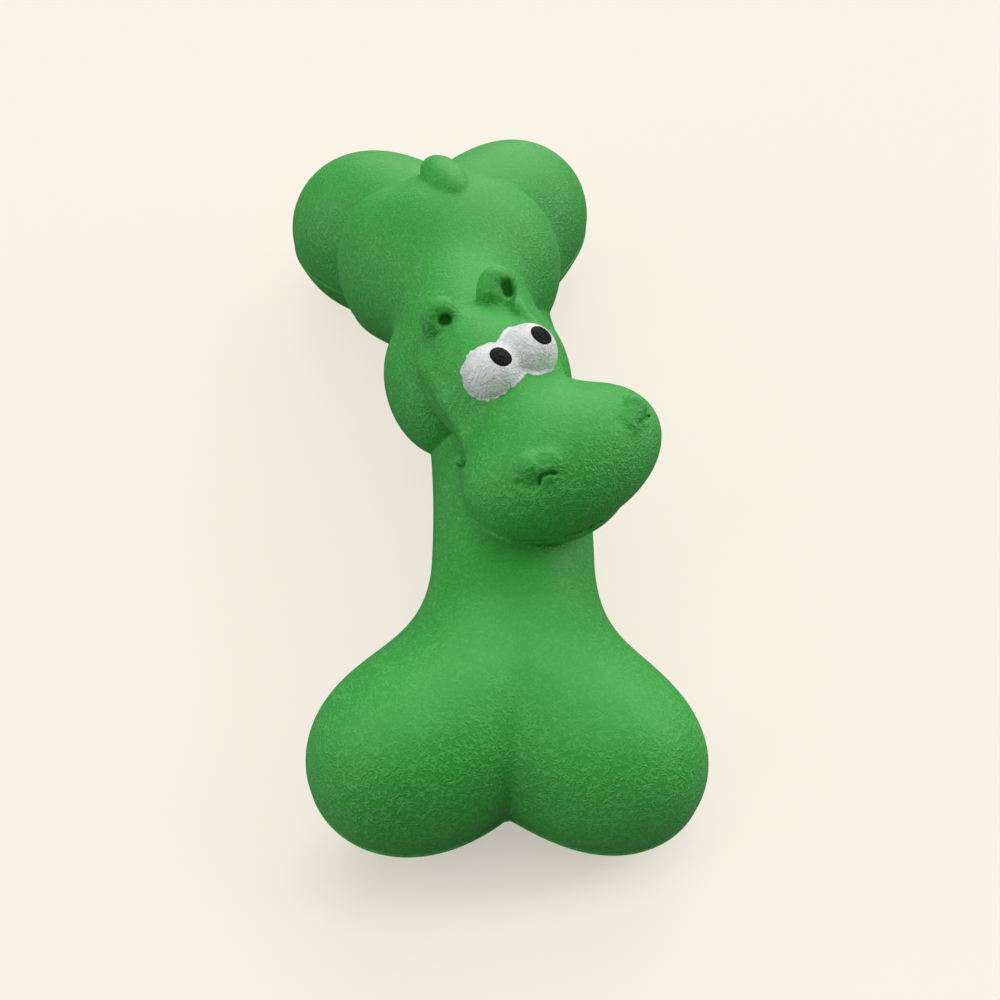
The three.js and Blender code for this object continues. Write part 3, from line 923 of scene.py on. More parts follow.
@dataclass(frozen=True)
class EtchedGrain:
    """The wormy grain that an etched mould leaves: short fine ridges, faded where the toy faces up as painted
    light, since light from above shows the grain only faintly there.
    """

    spacing_mm: float = 0.62  # the noise's cell, which sets the ridges 0.6 to 1 mm apart, as etching does
    break_mm: float = 0.8  # ridges are broken off at about this length
    relief_mm: float = 0.11  # height of a ridge
    line_width: float = 0.20  # of the noise's range, from a ridge's middle to its foot
    gap_range: tuple[float, float] = (0.32, 0.60)  # of the breaking noise, from a gap to a whole ridge
    gap_height: float = 0.25  # what is left of a ridge in a gap
    gap_shift: Vec = (0.3, 0.7, 0.5)  # takes the breaking noise off the ridges' own, in metres
    lit_top_fade_from: float = 0.7  # upward part of the normal at which the painted fade for lit tops starts
    lit_top_grain_share: float = 0.35  # what is left of a ridge that faces straight up, where the painted fade for lit tops is strongest

    def height(self, tree: bpy.types.NodeTree) -> tuple[bpy.types.NodeSocket, bpy.types.NodeSocket]:
        """Adds the grain's nodes.

        Args:
            tree: the material's tree.

        Returns:
            The grain's height from 0 to 1, and the object coordinates that it reads.
        """
        place = add_node(tree, "ShaderNodeTexCoord").outputs["Object"]
        worms = add_node(tree, "ShaderNodeTexNoise", {
            "Vector": place, "Scale": 1 / (self.spacing_mm * MM), "Detail": 0.4, "Roughness": 0.4,
            "Distortion": 0.35})
        off = add_node(tree, "ShaderNodeMath", {0: worms.outputs["Fac"], 1: 0.5}, operation="SUBTRACT")
        size = add_node(tree, "ShaderNodeMath", {0: off.outputs[0]}, operation="ABSOLUTE")
        ridge = add_node(tree, "ShaderNodeMapRange", {
            "Value": size.outputs[0], "From Min": 0.0, "From Max": self.line_width, "To Min": 1.0,
            "To Max": 0.0}, interpolation_type="SMOOTHSTEP")
        aside = add_node(tree, "ShaderNodeMapping", {"Vector": place, "Location": self.gap_shift})
        gaps = add_node(tree, "ShaderNodeTexNoise", {
            "Vector": aside.outputs[0], "Scale": 1 / (self.break_mm * MM), "Detail": 0.0})
        whole = add_node(tree, "ShaderNodeMapRange", {
            "Value": gaps.outputs["Fac"], "From Min": self.gap_range[0], "From Max": self.gap_range[1],
            "To Min": self.gap_height, "To Max": 1.0}, interpolation_type="SMOOTHSTEP")
        broken = add_node(tree, "ShaderNodeMath", {0: ridge.outputs[0], 1: whole.outputs[0]},
                          operation="MULTIPLY")
        # painted light: the ridges fade, in tone and in relief, on faces that point up towards the top light
        facing = add_node(tree, "ShaderNodeSeparateXYZ", {
            0: add_node(tree, "ShaderNodeTexCoord").outputs["Normal"]})
        lit_top_fade = add_node(tree, "ShaderNodeMapRange", {
            "Value": facing.outputs["Z"], "From Min": self.lit_top_fade_from, "From Max": 1.0, "To Min": 1.0,
            "To Max": self.lit_top_grain_share})
        height = add_node(tree, "ShaderNodeMath", {0: broken.outputs[0], 1: lit_top_fade.outputs[0]},
                          operation="MULTIPLY")
        return height.outputs[0], place


@dataclass(frozen=True)
class MouldedRubber:
    """Vinyl rubber slush-moulded in an etched mould: satin, a little waxy, with a painted highlight along its
    ridges and painted shade in the pits between them.
    """

    name: str = "moulded_green_rubber"
    # the grain's colours: a painted highlight on the ridges and painted shade in the pits
    ridge: str = "#50C256"
    pit_shade: str = "#21A028"
    roughness: float = 0.5
    ior: float = 1.5
    sheen: float = 0.03
    ridge_highlight_share: float = 0.75  # how much paler a ridge is than its foot: painted highlight on the ridge, painted shade at its foot
    cloud_mm: float = 14.0  # size of the paler and darker clouds in the skin
    cloud_range: tuple[float, float] = (0.3, 0.7)  # of their noise, from dark to pale
    cloud_tones: tuple[float, float] = (0.2, 0.45)  # share of the ridge colour between the ridges, the same way
    grain: EtchedGrain = EtchedGrain()

    def build(self) -> bpy.types.Material:
        """Builds the material.

        Returns:
            The green rubber.
        """
        material = fresh_material(self.name)
        tree = material.node_tree
        height, place = self.grain.height(tree)
        cloud = add_node(tree, "ShaderNodeTexNoise", {
            "Vector": place, "Scale": 1 / (self.cloud_mm * MM), "Detail": 2.0})
        tone = add_node(tree, "ShaderNodeMapRange", {
            "Value": cloud.outputs["Fac"], "From Min": self.cloud_range[0], "From Max": self.cloud_range[1],
            "To Min": self.cloud_tones[0], "To Max": self.cloud_tones[1]})
        # painted highlight and shade on the grain: pale where its height is high, dark in its pits
        share = add_node(tree, "ShaderNodeMath", {0: height, 1: self.ridge_highlight_share, 2: tone.outputs[0]},
                         operation="MULTIPLY_ADD")
        colour = add_node(tree, "ShaderNodeMix", {
            0: share.outputs[0], 6: linear(self.pit_shade), 7: linear(self.ridge)}, data_type="RGBA")
        bump = add_node(tree, "ShaderNodeBump", {
            "Height": height, "Strength": 1.0, "Distance": self.grain.relief_mm * MM})
        shader = add_node(tree, "ShaderNodeBsdfPrincipled", {
            "Base Color": colour.outputs[2], "Roughness": self.roughness, "IOR": self.ior,
            "Sheen Weight": self.sheen, "Sheen Roughness": 0.5, "Normal": bump.outputs[0]})
        add_node(tree, "ShaderNodeOutputMaterial", {"Surface": shader.outputs[0]})
        return material


@dataclass(frozen=True)
class BrushedPaint:
    """Flexible paint brushed over the grain, which still shows through it: matt, with thin places."""

    name: str
    colour: str
    thin: str
    roughness: float = 0.6
    specular: float = 0.5
    ior: float = 1.5
    blot_mm: float = 2.0  # size of the thin places
    thin_range: tuple[float, float] = (0.3, 0.75)  # of their noise, from full paint to thin
    # the paint's grain keeps more of its ridges on lit tops, and here it sets only the relief
    grain: EtchedGrain = EtchedGrain(relief_mm=0.13, lit_top_grain_share=0.7)

    def build(self) -> bpy.types.Material:
        """Builds the material.

        Returns:
            The paint.
        """
        material = fresh_material(self.name)
        tree = material.node_tree
        height, place = self.grain.height(tree)
        blot = add_node(tree, "ShaderNodeTexNoise", {
            "Vector": place, "Scale": 1 / (self.blot_mm * MM), "Detail": 3.0})
        share = add_node(tree, "ShaderNodeMapRange", {
            "Value": blot.outputs["Fac"], "From Min": self.thin_range[0], "From Max": self.thin_range[1],
            "To Min": 0.0, "To Max": 1.0})
        colour = add_node(tree, "ShaderNodeMix", {
            0: share.outputs[0], 6: linear(self.colour), 7: linear(self.thin)}, data_type="RGBA")
        bump = add_node(tree, "ShaderNodeBump", {
            "Height": height, "Strength": 1.0, "Distance": self.grain.relief_mm * MM})
        shader = add_node(tree, "ShaderNodeBsdfPrincipled", {
            "Base Color": colour.outputs[2], "Roughness": self.roughness, "IOR": self.ior,
            "Specular IOR Level": self.specular, "Normal": bump.outputs[0]})
        add_node(tree, "ShaderNodeOutputMaterial", {"Surface": shader.outputs[0]})
        return material


@dataclass(frozen=True)
class MouldedPolyethylene:
    """Natural polyethylene, injection moulded: milky, waxy and smooth, with faint flow marks."""

    name: str = "natural_polyethylene"
    colour: str = "#E8E3D6"
    flow: str = "#DDD7C8"
    roughness: float = 0.35
    ior: float = 1.51
    flow_mm: float = 3.0  # width of a flow mark
    flow_stretch: float = 0.3  # draws the marks out along the barrel
    relief_mm: float = 0.02
    glow_mm: float = 1.0  # how deep light spreads in the plastic

    def build(self) -> bpy.types.Material:
        """Builds the material.

        Returns:
            The plastic.
        """
        material = fresh_material(self.name)
        tree = material.node_tree
        place = add_node(tree, "ShaderNodeTexCoord").outputs["Object"]
        stretch = add_node(tree, "ShaderNodeMapping", {"Vector": place, "Scale": (1.0, 1.0, self.flow_stretch)})
        marks = add_node(tree, "ShaderNodeTexNoise", {
            "Vector": stretch.outputs[0], "Scale": 1 / (self.flow_mm * MM), "Detail": 2.0})
        colour = add_node(tree, "ShaderNodeMix", {
            0: marks.outputs["Fac"], 6: linear(self.colour), 7: linear(self.flow)}, data_type="RGBA")
        bump = add_node(tree, "ShaderNodeBump", {
            "Height": marks.outputs["Fac"], "Strength": 0.3, "Distance": self.relief_mm * MM})
        shader = add_node(tree, "ShaderNodeBsdfPrincipled", {
            "Base Color": colour.outputs[2], "Roughness": self.roughness, "IOR": self.ior,
            "Subsurface Weight": 0.15, "Subsurface Radius": (1.0, 0.9, 0.7),
            "Subsurface Scale": self.glow_mm * MM, "Normal": bump.outputs[0]})
        add_node(tree, "ShaderNodeOutputMaterial", {"Surface": shader.outputs[0]})
        return material


@dataclass(frozen=True)
class BackdropPaper:
    """Matt cream paper under the toy, which takes the toy's shadow most where the toy touches it."""

    name: str = "cream_paper"
    colour: str = "#FBF4E8"
    far_share: float = 0.26  # how much of the paper's tone is lit, so takes a shadow; the rest glows
    near_share: float = 0.55  # the same under the near lobes
    shadow_middle: tuple[float, float] = (-1.4, -79.0)  # the middle of the near lobes' shadow, in mm
    shadow_reach: tuple[float, float] = (38.0, 9.0)  # its half length and half width, in mm
    shadow_edge: tuple[float, float] = (0.5, 1.3)  # of the reach, from the dark middle to the far share
    bounce: float = 0.18  # how much light the paper throws back at the toy

    def build(self, light: float) -> bpy.types.Material:
        """Builds the material.

        Args:
            light: how bright a white floor would be under the lamps, where 1 is white.

        Returns:
            The paper.
        """
        material = fresh_material(self.name)
        tree = material.node_tree
        tone = linear(self.colour)
        place = add_node(tree, "ShaderNodeTexCoord").outputs["Object"]
        scale = tuple(1 / (reach * MM) for reach in self.shadow_reach) + (0.0,)
        shift = tuple(-middle / reach for middle, reach in zip(self.shadow_middle, self.shadow_reach)) + (0.0,)
        oval = add_node(tree, "ShaderNodeMapping", {"Vector": place, "Scale": scale, "Location": shift})
        off = add_node(tree, "ShaderNodeVectorMath", {0: oval.outputs[0]}, operation="LENGTH")
        share = add_node(tree, "ShaderNodeMapRange", {
            "Value": off.outputs["Value"], "From Min": self.shadow_edge[0], "From Max": self.shadow_edge[1],
            "To Min": self.near_share, "To Max": self.far_share}, interpolation_type="SMOOTHSTEP")
        lit = add_node(tree, "ShaderNodeBsdfDiffuse", {
            "Color": tuple(c / light for c in tone[:3]) + (1.0,)})
        glow = add_node(tree, "ShaderNodeEmission", {"Color": tone, "Strength": 1.0})
        paper = add_node(tree, "ShaderNodeMixShader", {
            0: share.outputs[0], 1: glow.outputs[0], 2: lit.outputs[0]})
        dull = add_node(tree, "ShaderNodeBsdfDiffuse", {"Color": (self.bounce, self.bounce, self.bounce, 1.0)})
        seen = add_node(tree, "ShaderNodeLightPath")
        both = add_node(tree, "ShaderNodeMixShader", {
            0: seen.outputs["Is Camera Ray"], 1: dull.outputs[0], 2: paper.outputs[0]})
        add_node(tree, "ShaderNodeOutputMaterial", {"Surface": both.outputs[0]})
        return material


# The rubber skin

@dataclass
class Skin:
    """The toy's closed outside, from which the mouldings and the paint are cut, and its lining."""

    bench: Bench
    form: ToyForm
    first_voxel: float = 1.4
    last_voxel: float = 1.0
    lining_voxel: float = 1.8
    tolerance: float = 0.03  # how far off the form a face's middle may lie before the face is halved
    wall: float = 2.4
    press_share: float = 0.5  # share of a press's half width that the fine mesh reaches past the margin
    mouth_margin: tuple[float, float] = (0.3, 0.5)  # its reach round the mouth line: fixed, share of the margin
    paint_margin: tuple[float, float] = (0.04, 0.4)  # the same on both sides of the white paint's edge
    narrow: float = 0.4  # a press with a smaller half width counts as a slit
    deep: float = 2.0  # and so does one that is deeper
    slit_margin: float = 0.4
    piece: bpy.types.Object = field(init=False)
    lining: bpy.types.Object = field(init=False)

    def build(self) -> None:
        """Joins balls, remeshes them, draws them onto the toy's form and presses its small features in."""
        self.piece = self.rough_piece()
        remesh(self.piece, self.first_voxel)
        settle(self.bench, self.piece, self.form.distance, rounds=5, smoothing=2)
        self.lining = self.drawn_inside()
        remesh(self.piece, self.last_voxel)
        settle(self.bench, self.piece, self.form.distance, rounds=3, smoothing=2)
        for wanted in (self.coarse, self.coarse, self.near_detail(0.45), self.near_slits):
            refine(self.bench, self.piece, wanted)
            settle(self.bench, self.piece, self.form.distance, rounds=2, smoothing=1)
        self.press()

    def rough_piece(self) -> bpy.types.Object:
        """Adds a ball for each shape and joins them into one object.

        Returns:
            The object, with its balls still whole.
        """
        bpy.ops.object.select_all(action="DESELECT")
        bpy.ops.mesh.primitive_uv_sphere_add(segments=48, ring_count=24, radius=1.0)
        first = bpy.context.active_object
        balls = []
        for matrix in self.form.rough():
            ball = duplicate(first, "ball")
            columns = np.column_stack([matrix[:, :3] * MM, self.bench.to_frame(matrix[:, 3])])
            ball.matrix_world = Matrix(np.vstack([columns, [0, 0, 0, 1]]).tolist())
            balls.append(ball)
        drop(first)
        bpy.context.view_layer.update()
        bpy.ops.object.select_all(action="DESELECT")
        for ball in balls:
            ball.select_set(True)
        bpy.context.view_layer.objects.active = balls[0]
        bpy.ops.object.transform_apply(location=True, rotation=True, scale=True)
        bpy.ops.object.join()
        return bpy.context.active_object

    def drawn_inside(self) -> bpy.types.Object:
        """Draws a copy of the skin inwards.

        Returns:
            A closed surface that runs one wall inside the toy.
        """
        made = duplicate(self.piece, "lining")
        settle(self.bench, made, self.form.core, rounds=6, smoothing=4, height=-self.wall)
        remesh(made, self.lining_voxel)
        settle(self.bench, made, self.form.core, rounds=4, smoothing=3, height=-self.wall)
        return made

    def coarse(self, points: np.ndarray) -> np.ndarray:
        """Flags faces that lie off the form, and those near a small feature.

        Args:
            points: the faces' middles, in mm.

        Returns:
            The flags.
        """
        return (np.abs(self.form.distance(points)) > self.tolerance) | self.near_detail(1.0)(points)

    def near_detail(self, margin: float) -> Callable[[np.ndarray], np.ndarray]:
        """Returns a test for points near a pressed feature or an edge of the paint.

        Args:
            margin: how far round each of them it reaches, in mm.

        Returns:
            A function from points in mm to flags.
        """
        head = self.form.head

        def test(points: np.ndarray) -> np.ndarray:
            """Flags points near a small feature.

            Args:
                points: where to look, in mm.

            Returns:
                The flags.
            """
            local = head.local(points)
            near = np.zeros(len(points), dtype=bool)
            for press in head.presses:
                near |= press.close(local, margin + self.press_share * press.half_width)
            for gaze, ball in zip(head.gazes, head.eye_balls):
                off = np.linalg.norm(local - pupil_middle(ball, gaze), axis=1) - head.pupil_radius
                near |= np.abs(off) < margin
            near |= head.off_mouth(local) < self.mouth_margin[0] + self.mouth_margin[1] * margin
            paint = self.paint_margin[0] + self.paint_margin[1] * margin
            return near | (np.abs(head.eyes(local) - head.white_reach) < paint)

        return test

    def near_slits(self, points: np.ndarray) -> np.ndarray:
        """Flags the points near the narrow and the deep presses.

        Args:
            points: where to look, in mm.

        Returns:
            The flags.
        """
        local = self.form.head.local(points)
        near = np.zeros(len(points), dtype=bool)
        for press in self.form.head.presses:
            if press.half_width < self.narrow or press.depth > self.deep:
                near |= press.close(local, self.slit_margin)
        return near

    def press(self) -> None:
        """Moves the vertices by every press."""
        head = self.form.head
        points = self.bench.read(self.piece)
        local = head.local(points)
        shift = sum(press.shift(local) for press in head.presses)
        self.bench.write(self.piece, points + shift @ head.basis().T)


@dataclass
class Moulding:
    """One half of the toy's rubber wall, cut from the skin at the seam and hollow inside."""

    bench: Bench
    name: str
    node: str
    keep: Keep
    seam: float = -2.0
    gap: float = 0.3
    edge_round: float = 0.26  # how far the rim turns in
    edge_reach: float = 0.16  # the height over which it does
    lip: float = 0.0  # how far the flash beside the seam stands out
    lip_reach: float = 1.6
    lip_reaches: float = 5.0  # nothing moves farther from the rim than this many
    outer_band: float = 0.3  # the outer side lies this near the form; the wall's inner side doesn't
    smooth_angle: float = 70.0
    rings: tuple[float, ...] = (0.12, 0.3, 0.6, 1.1)  # heights off the rim that get vertices of their own
    piece: bpy.types.Object = field(init=False)

    @property
    def side(self) -> int:
        """Which way the half lies from the seam."""
        return 1 if self.keep is Keep.ABOVE else -1

    @property
    def edge(self) -> float:
        """The height of the half's rim, in mm from the middle of the bone."""
        return self.seam + self.side * self.gap / 2

    def build(self, skin: Skin) -> None:
        """Cuts the half out of the skin, hollows it and rounds its outer edge.

        Args:
            skin: the toy's outside and lining.
        """
        self.piece = duplicate(skin.piece, self.name)
        for ring in self.rings:
            cut_level(self.bench, self.piece, self.edge + self.side * ring, Keep.BOTH)
        cut_level(self.bench, self.piece, self.edge, self.keep, fill=True)
        self.hollow(skin.lining)
        self.finish_edge(skin.form)
        take(self.piece)
        bpy.ops.object.shade_smooth_by_angle(angle=math.radians(self.smooth_angle))

    def hollow(self, lining: bpy.types.Object) -> None:
        """Takes the lining out of the half."""
        combine(self.piece, duplicate(lining, "tool"), "DIFFERENCE")

    def finish_edge(self, form: ToyForm) -> None:
        """Turns the outer edge in, and brings the lip beside it out.

        Args:
            form: the toy's form, which gives the way out.
        """
        points = self.bench.read(self.piece)
        off = np.abs(points[:, 2] - self.edge)
        band = np.flatnonzero(off < self.lip_reaches * self.lip_reach)
        value, gradient = slope_of(form.distance, points[band])
        outer = np.abs(value) < self.outer_band
        band, gradient = band[outer], gradient[outer]
        gradient[:, 2] = 0
        gradient /= np.maximum(np.linalg.norm(gradient, axis=1), 1e-6)[:, None]
        move = self.lip * np.exp(-(off[band] / self.lip_reach) ** 2)
        move -= self.edge_round * np.exp(-off[band] / self.edge_reach)
        points[band] += gradient * move[:, None]
        self.bench.write(self.piece, points)

    def dress(self, rubber: bpy.types.Material) -> None:
        """Gives the half its rubber and ties it to the frame."""
        finish_piece(self.piece, rubber, self.node)


@dataclass
class BackMoulding(Moulding):
    """The back half, with the seat that the squeaker is pressed into."""

    place_x: float = SQUEAKER_X
    seat_radius: float = 10.7
    seat_top: float = -5.5
    seat_height: float = -12.2
    recess_radius: float = 8.5
    bore_radius: float = 6.0
    under: float = -30.0  # a height well below the toy, where every drum starts
    overrun: float = 4.0  # how far the bore runs on past the seat's top

    def hollow(self, lining: bpy.types.Object) -> None:
        """Takes the lining out of the half but for the seat, then the recess and the bore.

        Args:
            lining: the closed surface one wall inside the toy.
        """
        tool = duplicate(lining, "tool")
        combine(tool, self.drum("seat", self.seat_radius, self.seat_top), "DIFFERENCE")
        combine(self.piece, tool, "DIFFERENCE")
        combine(self.piece, self.drum("recess", self.recess_radius, self.seat_height), "DIFFERENCE")
        combine(self.piece, self.drum("bore", self.bore_radius, self.seat_top + self.overrun), "DIFFERENCE")

    def drum(self, name: str, radius: float, high: float) -> bpy.types.Object:
        """Adds an upright cylinder on the squeaker's axis, from below the toy up.

        Args:
            name: the object's name.
            radius: its radius in mm.
            high: the height of its top.

        Returns:
            The new object.
        """
        middle = self.bench.to_frame(np.array([self.place_x, 0.0, (self.under + high) / 2]))
        bpy.ops.object.select_all(action="DESELECT")
        bpy.ops.mesh.primitive_cylinder_add(vertices=128, radius=radius * MM, depth=(high - self.under) * MM,
                                            location=tuple(middle))
        made = bpy.context.active_object
        made.name = name
        bpy.ops.object.transform_apply(location=True, rotation=False, scale=False)
        return made


# The paint

def pupil_middle(ball: Ball, gaze: Vec) -> np.ndarray:
    """Places a pupil on its eye.

    Args:
        ball: the eye.
        gaze: the direction that the eye looks in, in the head's frame.

    Returns:
        The pupil's middle in the head's frame.
    """
    return ball.middle + np.array(gaze) / np.linalg.norm(gaze) * ball.reach


def blotch(points: np.ndarray, spacing: float) -> np.ndarray:
    """Reads smooth noise.

    Args:
        points: where to read it, in mm.
        spacing: the size of its blotches, in mm.

    Returns:
        Values from about -1 to 1.
    """
    return np.array([noise.noise(Vector(point)) for point in points / spacing])


@dataclass
class Paint:
    """A coat of paint on the face, lifted from the rubber under it, with an edge where its margin is nil."""

    bench: Bench
    name: str
    node: str
    slot: str
    margin: Callable[[np.ndarray], np.ndarray]
    lift: float
    thickness: float
    edge_reach: float = 0.3  # the coat is thinner than its lift this far in from its edge
    edge_lift: float = 0.25  # share of the lift at the very edge
    search: float = 2.0  # nothing farther off the eyes than this is painted
    snaps: int = 3
    snap_span: float = 0.03
    snap_stride: float = 0.15
    piece: bpy.types.Object = field(init=False)

    def build(self, skin: Skin) -> None:
        """Lifts the painted faces off the skin and gives them a thickness.

        Args:
            skin: the toy's outside.
        """
        self.piece = duplicate(skin.piece, self.name)
        points = self.bench.read(self.piece)
        far = skin.form.head.eyes(skin.form.head.local(points)) > self.search
        inside = np.zeros(len(points))
        inside[far] = -1
        inside[~far] = self.margin(points[~far])
        self.keep_faces(inside > 0)
        points = self.bench.read(self.piece)
        for _ in range(self.snaps):
            points = self.edge_snapped(points, skin.form)
        share = np.clip(self.margin(points) / self.edge_reach, 0, 1)
        _, gradient = slope_of(skin.form.distance, points)
        height = self.lift * (self.edge_lift + (1 - self.edge_lift) * np.sqrt(share * (2 - share)))
        self.bench.write(self.piece, points + gradient * height[:, None])
        apply_modifier(self.piece, "SOLIDIFY", thickness=self.thickness * MM, offset=-1.0)
        smooth_shade(self.piece)

    def keep_faces(self, flags: np.ndarray) -> None:
        """Deletes the faces that have a corner outside the paint.

        Args:
            flags: for each vertex, whether it is painted.
        """
        mesh = self.piece.data
        corner = np.empty(len(mesh.loops), dtype=np.int32)
        mesh.loops.foreach_get("vertex_index", corner)
        start = np.empty(len(mesh.polygons), dtype=np.int32)
        mesh.polygons.foreach_get("loop_start", start)
        kept = np.minimum.reduceat(flags[corner].astype(int), start)
        select_faces(self.piece, kept == 0)
        edit(self.piece, lambda: bpy.ops.mesh.delete(type="FACE"))

    def edge_snapped(self, points: np.ndarray, form: ToyForm) -> np.ndarray:
        """Moves the vertices of the open edge along the skin onto the line where the margin is nil.

        Args:
            points: the coat's vertices, in mm.
            form: the toy's form, along which they move.

        Returns:
            The vertices after the move.
        """
        mesh = self.piece.data
        uses = np.zeros(len(mesh.edges), dtype=int)
        edge_of = np.empty(len(mesh.loops), dtype=np.int32)
        mesh.loops.foreach_get("edge_index", edge_of)
        np.add.at(uses, edge_of, 1)
        ends = np.empty(len(mesh.edges) * 2, dtype=np.int32)
        mesh.edges.foreach_get("vertices", ends)
        rim = np.unique(ends.reshape(-1, 2)[uses == 1])
        value, slope = slope_of(self.margin, points[rim], self.snap_span)
        _, normal = slope_of(form.distance, points[rim])
        slope -= (slope * normal).sum(axis=1)[:, None] * normal
        square = np.maximum((slope * slope).sum(axis=1), LEAST_SQUARE)
        moved = points.copy()
        moved[rim] -= slope * np.clip(value / square, -self.snap_stride, self.snap_stride)[:, None]
        return moved

    def dress(self, paint: bpy.types.Material) -> None:
        """Gives the coat its paint and ties it to the frame."""
        finish_piece(self.piece, paint, self.node)


@dataclass
class Eyes:
    """The white coat over both eyes and a black pupil on each."""

    bench: Bench
    form: ToyForm
    run_down: float = 0.5  # how much farther the white reaches between the eyes, in mm
    run_middle: float = 1.5  # where across the head it does
    run_reach: float = 3.0
    white_lift: float = 0.10
    white_thickness: float = 0.16
    pupil_lift: float = 0.17
    pupil_thickness: float = 0.12
    pupil_edge: float = 0.12
    white_waves: tuple[float, float] = (0.30, 1.1)  # the white edge's slow raggedness: depth and size in mm
    white_bristles: tuple[float, float] = (0.12, 0.45)  # its fine raggedness, the same way
    bristle_shift: float = 40.0  # takes the fine raggedness off the slow one, in mm
    pupil_waves: tuple[float, float] = (0.05, 0.8)  # the pupils' raggedness, the same way
    coats: list[Paint] = field(init=False)

    def build(self, skin: Skin) -> None:
        """Builds the three coats.

        Args:
            skin: the toy's outside.
        """
        self.coats = [Paint(self.bench, "white_coat", "eye_white", "white_paint", self.white_margin,
                            self.white_lift, self.white_thickness)]
        for side, ball, gaze in zip(("left", "right"), self.form.head.eye_balls, self.form.head.gazes):
            middle = pupil_middle(ball, gaze)
            self.coats.append(Paint(self.bench, f"{side}_pupil_coat", f"pupil_{side}", "black_paint",
                                    self.pupil_margin(middle), self.pupil_lift, self.pupil_thickness,
                                    self.pupil_edge))
        for coat in self.coats:
            coat.build(skin)

    def white_margin(self, points: np.ndarray) -> np.ndarray:
        """Measures how far inside the ragged edge of the white coat points lie.

        Args:
            points: where to measure, in mm.

        Returns:
            The distances in mm.
        """
        head = self.form.head
        local = head.local(points)
        ragged = self.white_waves[0] * blotch(points, self.white_waves[1])
        ragged += self.white_bristles[0] * blotch(points + self.bristle_shift, self.white_bristles[1])
        run_down = self.run_down * np.exp(-((local[:, 0] - self.run_middle) / self.run_reach) ** 2)
        return head.white_reach + run_down - head.eyes(local) - ragged

    def pupil_margin(self, middle: np.ndarray) -> Callable[[np.ndarray], np.ndarray]:
        """Makes the margin of a pupil's coat.

        Args:
            middle: the pupil's middle, in the head's frame.

        Returns:
            A function that says how far inside the pupil's edge points lie, in mm.
        """
        def margin(points: np.ndarray) -> np.ndarray:
            """How far inside the pupil's edge points lie."""
            off = np.linalg.norm(self.form.head.local(points) - middle, axis=1)
            ragged = self.pupil_waves[0] * blotch(points, self.pupil_waves[1])
            return self.form.head.pupil_radius + ragged - off

        return margin

    def dress(self, white: bpy.types.Material, black: bpy.types.Material) -> None:
        """Gives the coats their paints."""
        for coat, paint in zip(self.coats, (white, black, black)):
            coat.dress(paint)


# The squeaker

@dataclass
class Squeaker:
    """The squeaker's flanged barrel, turned from its profile, and the finish of its reed parts."""

    bench: Bench
    place_x: float = SQUEAKER_X
    segments: int = 96
    bevel: float = 0.18
    bevel_angle: float = 50.0
    smooth_angle: float = 35.0
    profile: tuple[tuple[float, float], ...] = (
        (1.5, -13.65), (2.6, -13.65), (3.1, -13.95), (5.6, -13.95), (5.9, -13.7), (6.7, -13.7), (7.0, -14.0),
        (8.2, -14.0), (8.2, -12.5), (5.7, -12.5), (5.7, -5.2), (6.7, -5.2), (6.55, -4.6), (5.7, -4.2),
        (5.7, -2.7), (4.5, -2.7), (4.5, -12.5), (1.5, -12.5), (1.5, -13.65))
    inner_nodes: tuple[str, ...] = ("squeaker_reed_block", "squeaker_reed_wedge", "squeaker_reed")
    piece: bpy.types.Object = field(init=False)

    def build(self) -> None:
        """Extrudes a ring along the profile and rounds its edges."""
        (radius, height), *rest = self.profile
        centre = Vector(self.bench.to_frame(np.array([self.place_x, 0.0, height])))
        bpy.ops.object.select_all(action="DESELECT")
        bpy.ops.mesh.primitive_circle_add(vertices=self.segments, radius=radius * MM, location=centre)
        self.piece = bpy.context.active_object
        self.piece.name = self.piece.data.name = "squeaker_barrel"
        bpy.ops.object.transform_apply(location=True, rotation=False, scale=False)
        bpy.context.tool_settings.mesh_select_mode = (False, True, False)
        bpy.ops.object.mode_set(mode="EDIT")
        bpy.ops.mesh.select_all(action="SELECT")
        for next_radius, next_height in rest:
            rise = (next_height - height) * MM
            bpy.ops.mesh.extrude_region_move(TRANSFORM_OT_translate={"value": (0, 0, rise)})
            scale = next_radius / radius
            bpy.ops.transform.resize(value=(scale, scale, 1), center_override=centre)
            radius, height = next_radius, next_height
        bpy.ops.mesh.select_all(action="SELECT")
        bpy.ops.mesh.remove_doubles(threshold=WELD)
        bpy.ops.mesh.normals_make_consistent(inside=False)
        bpy.ops.object.mode_set(mode="OBJECT")
        apply_modifier(self.piece, "BEVEL", width=self.bevel * MM, segments=2, limit_method="ANGLE",
                       angle_limit=math.radians(self.bevel_angle))
        take(self.piece)
        bpy.ops.object.shade_smooth_by_angle(angle=math.radians(self.smooth_angle))

    def dress(self, plastic: bpy.types.Material) -> None:
        """Gives the barrel and the reed parts their plastic.

        Args:
            plastic: the finish of all four.
        """
        finish_piece(self.piece, plastic, "squeaker_housing")
        for name in self.inner_nodes:
            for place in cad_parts[name].material_slots:
                place.material = plastic


# The studio

@dataclass(frozen=True)
class Softbox:
    """A wide soft lamp, as a sun: the direction that it shines from, its strength and how wide it looks."""

    name: str
    source: Vec
    strength: float
    angle: float = 60.0

    def on_floor(self) -> float:
        """How bright it makes a white floor."""
        return self.strength * self.source[2] / Vector(self.source).length / math.pi

    def build(self) -> None:
        """Adds the lamp."""
        lamp = bpy.data.lights.new(self.name, "SUN")
        lamp.energy = self.strength
        lamp.angle = math.radians(self.angle)
        sun = bpy.data.objects.new(self.name, lamp)
        sun.rotation_euler = Vector(self.source).to_track_quat("Z", "Y").to_euler()
        bpy.context.scene.collection.objects.link(sun)


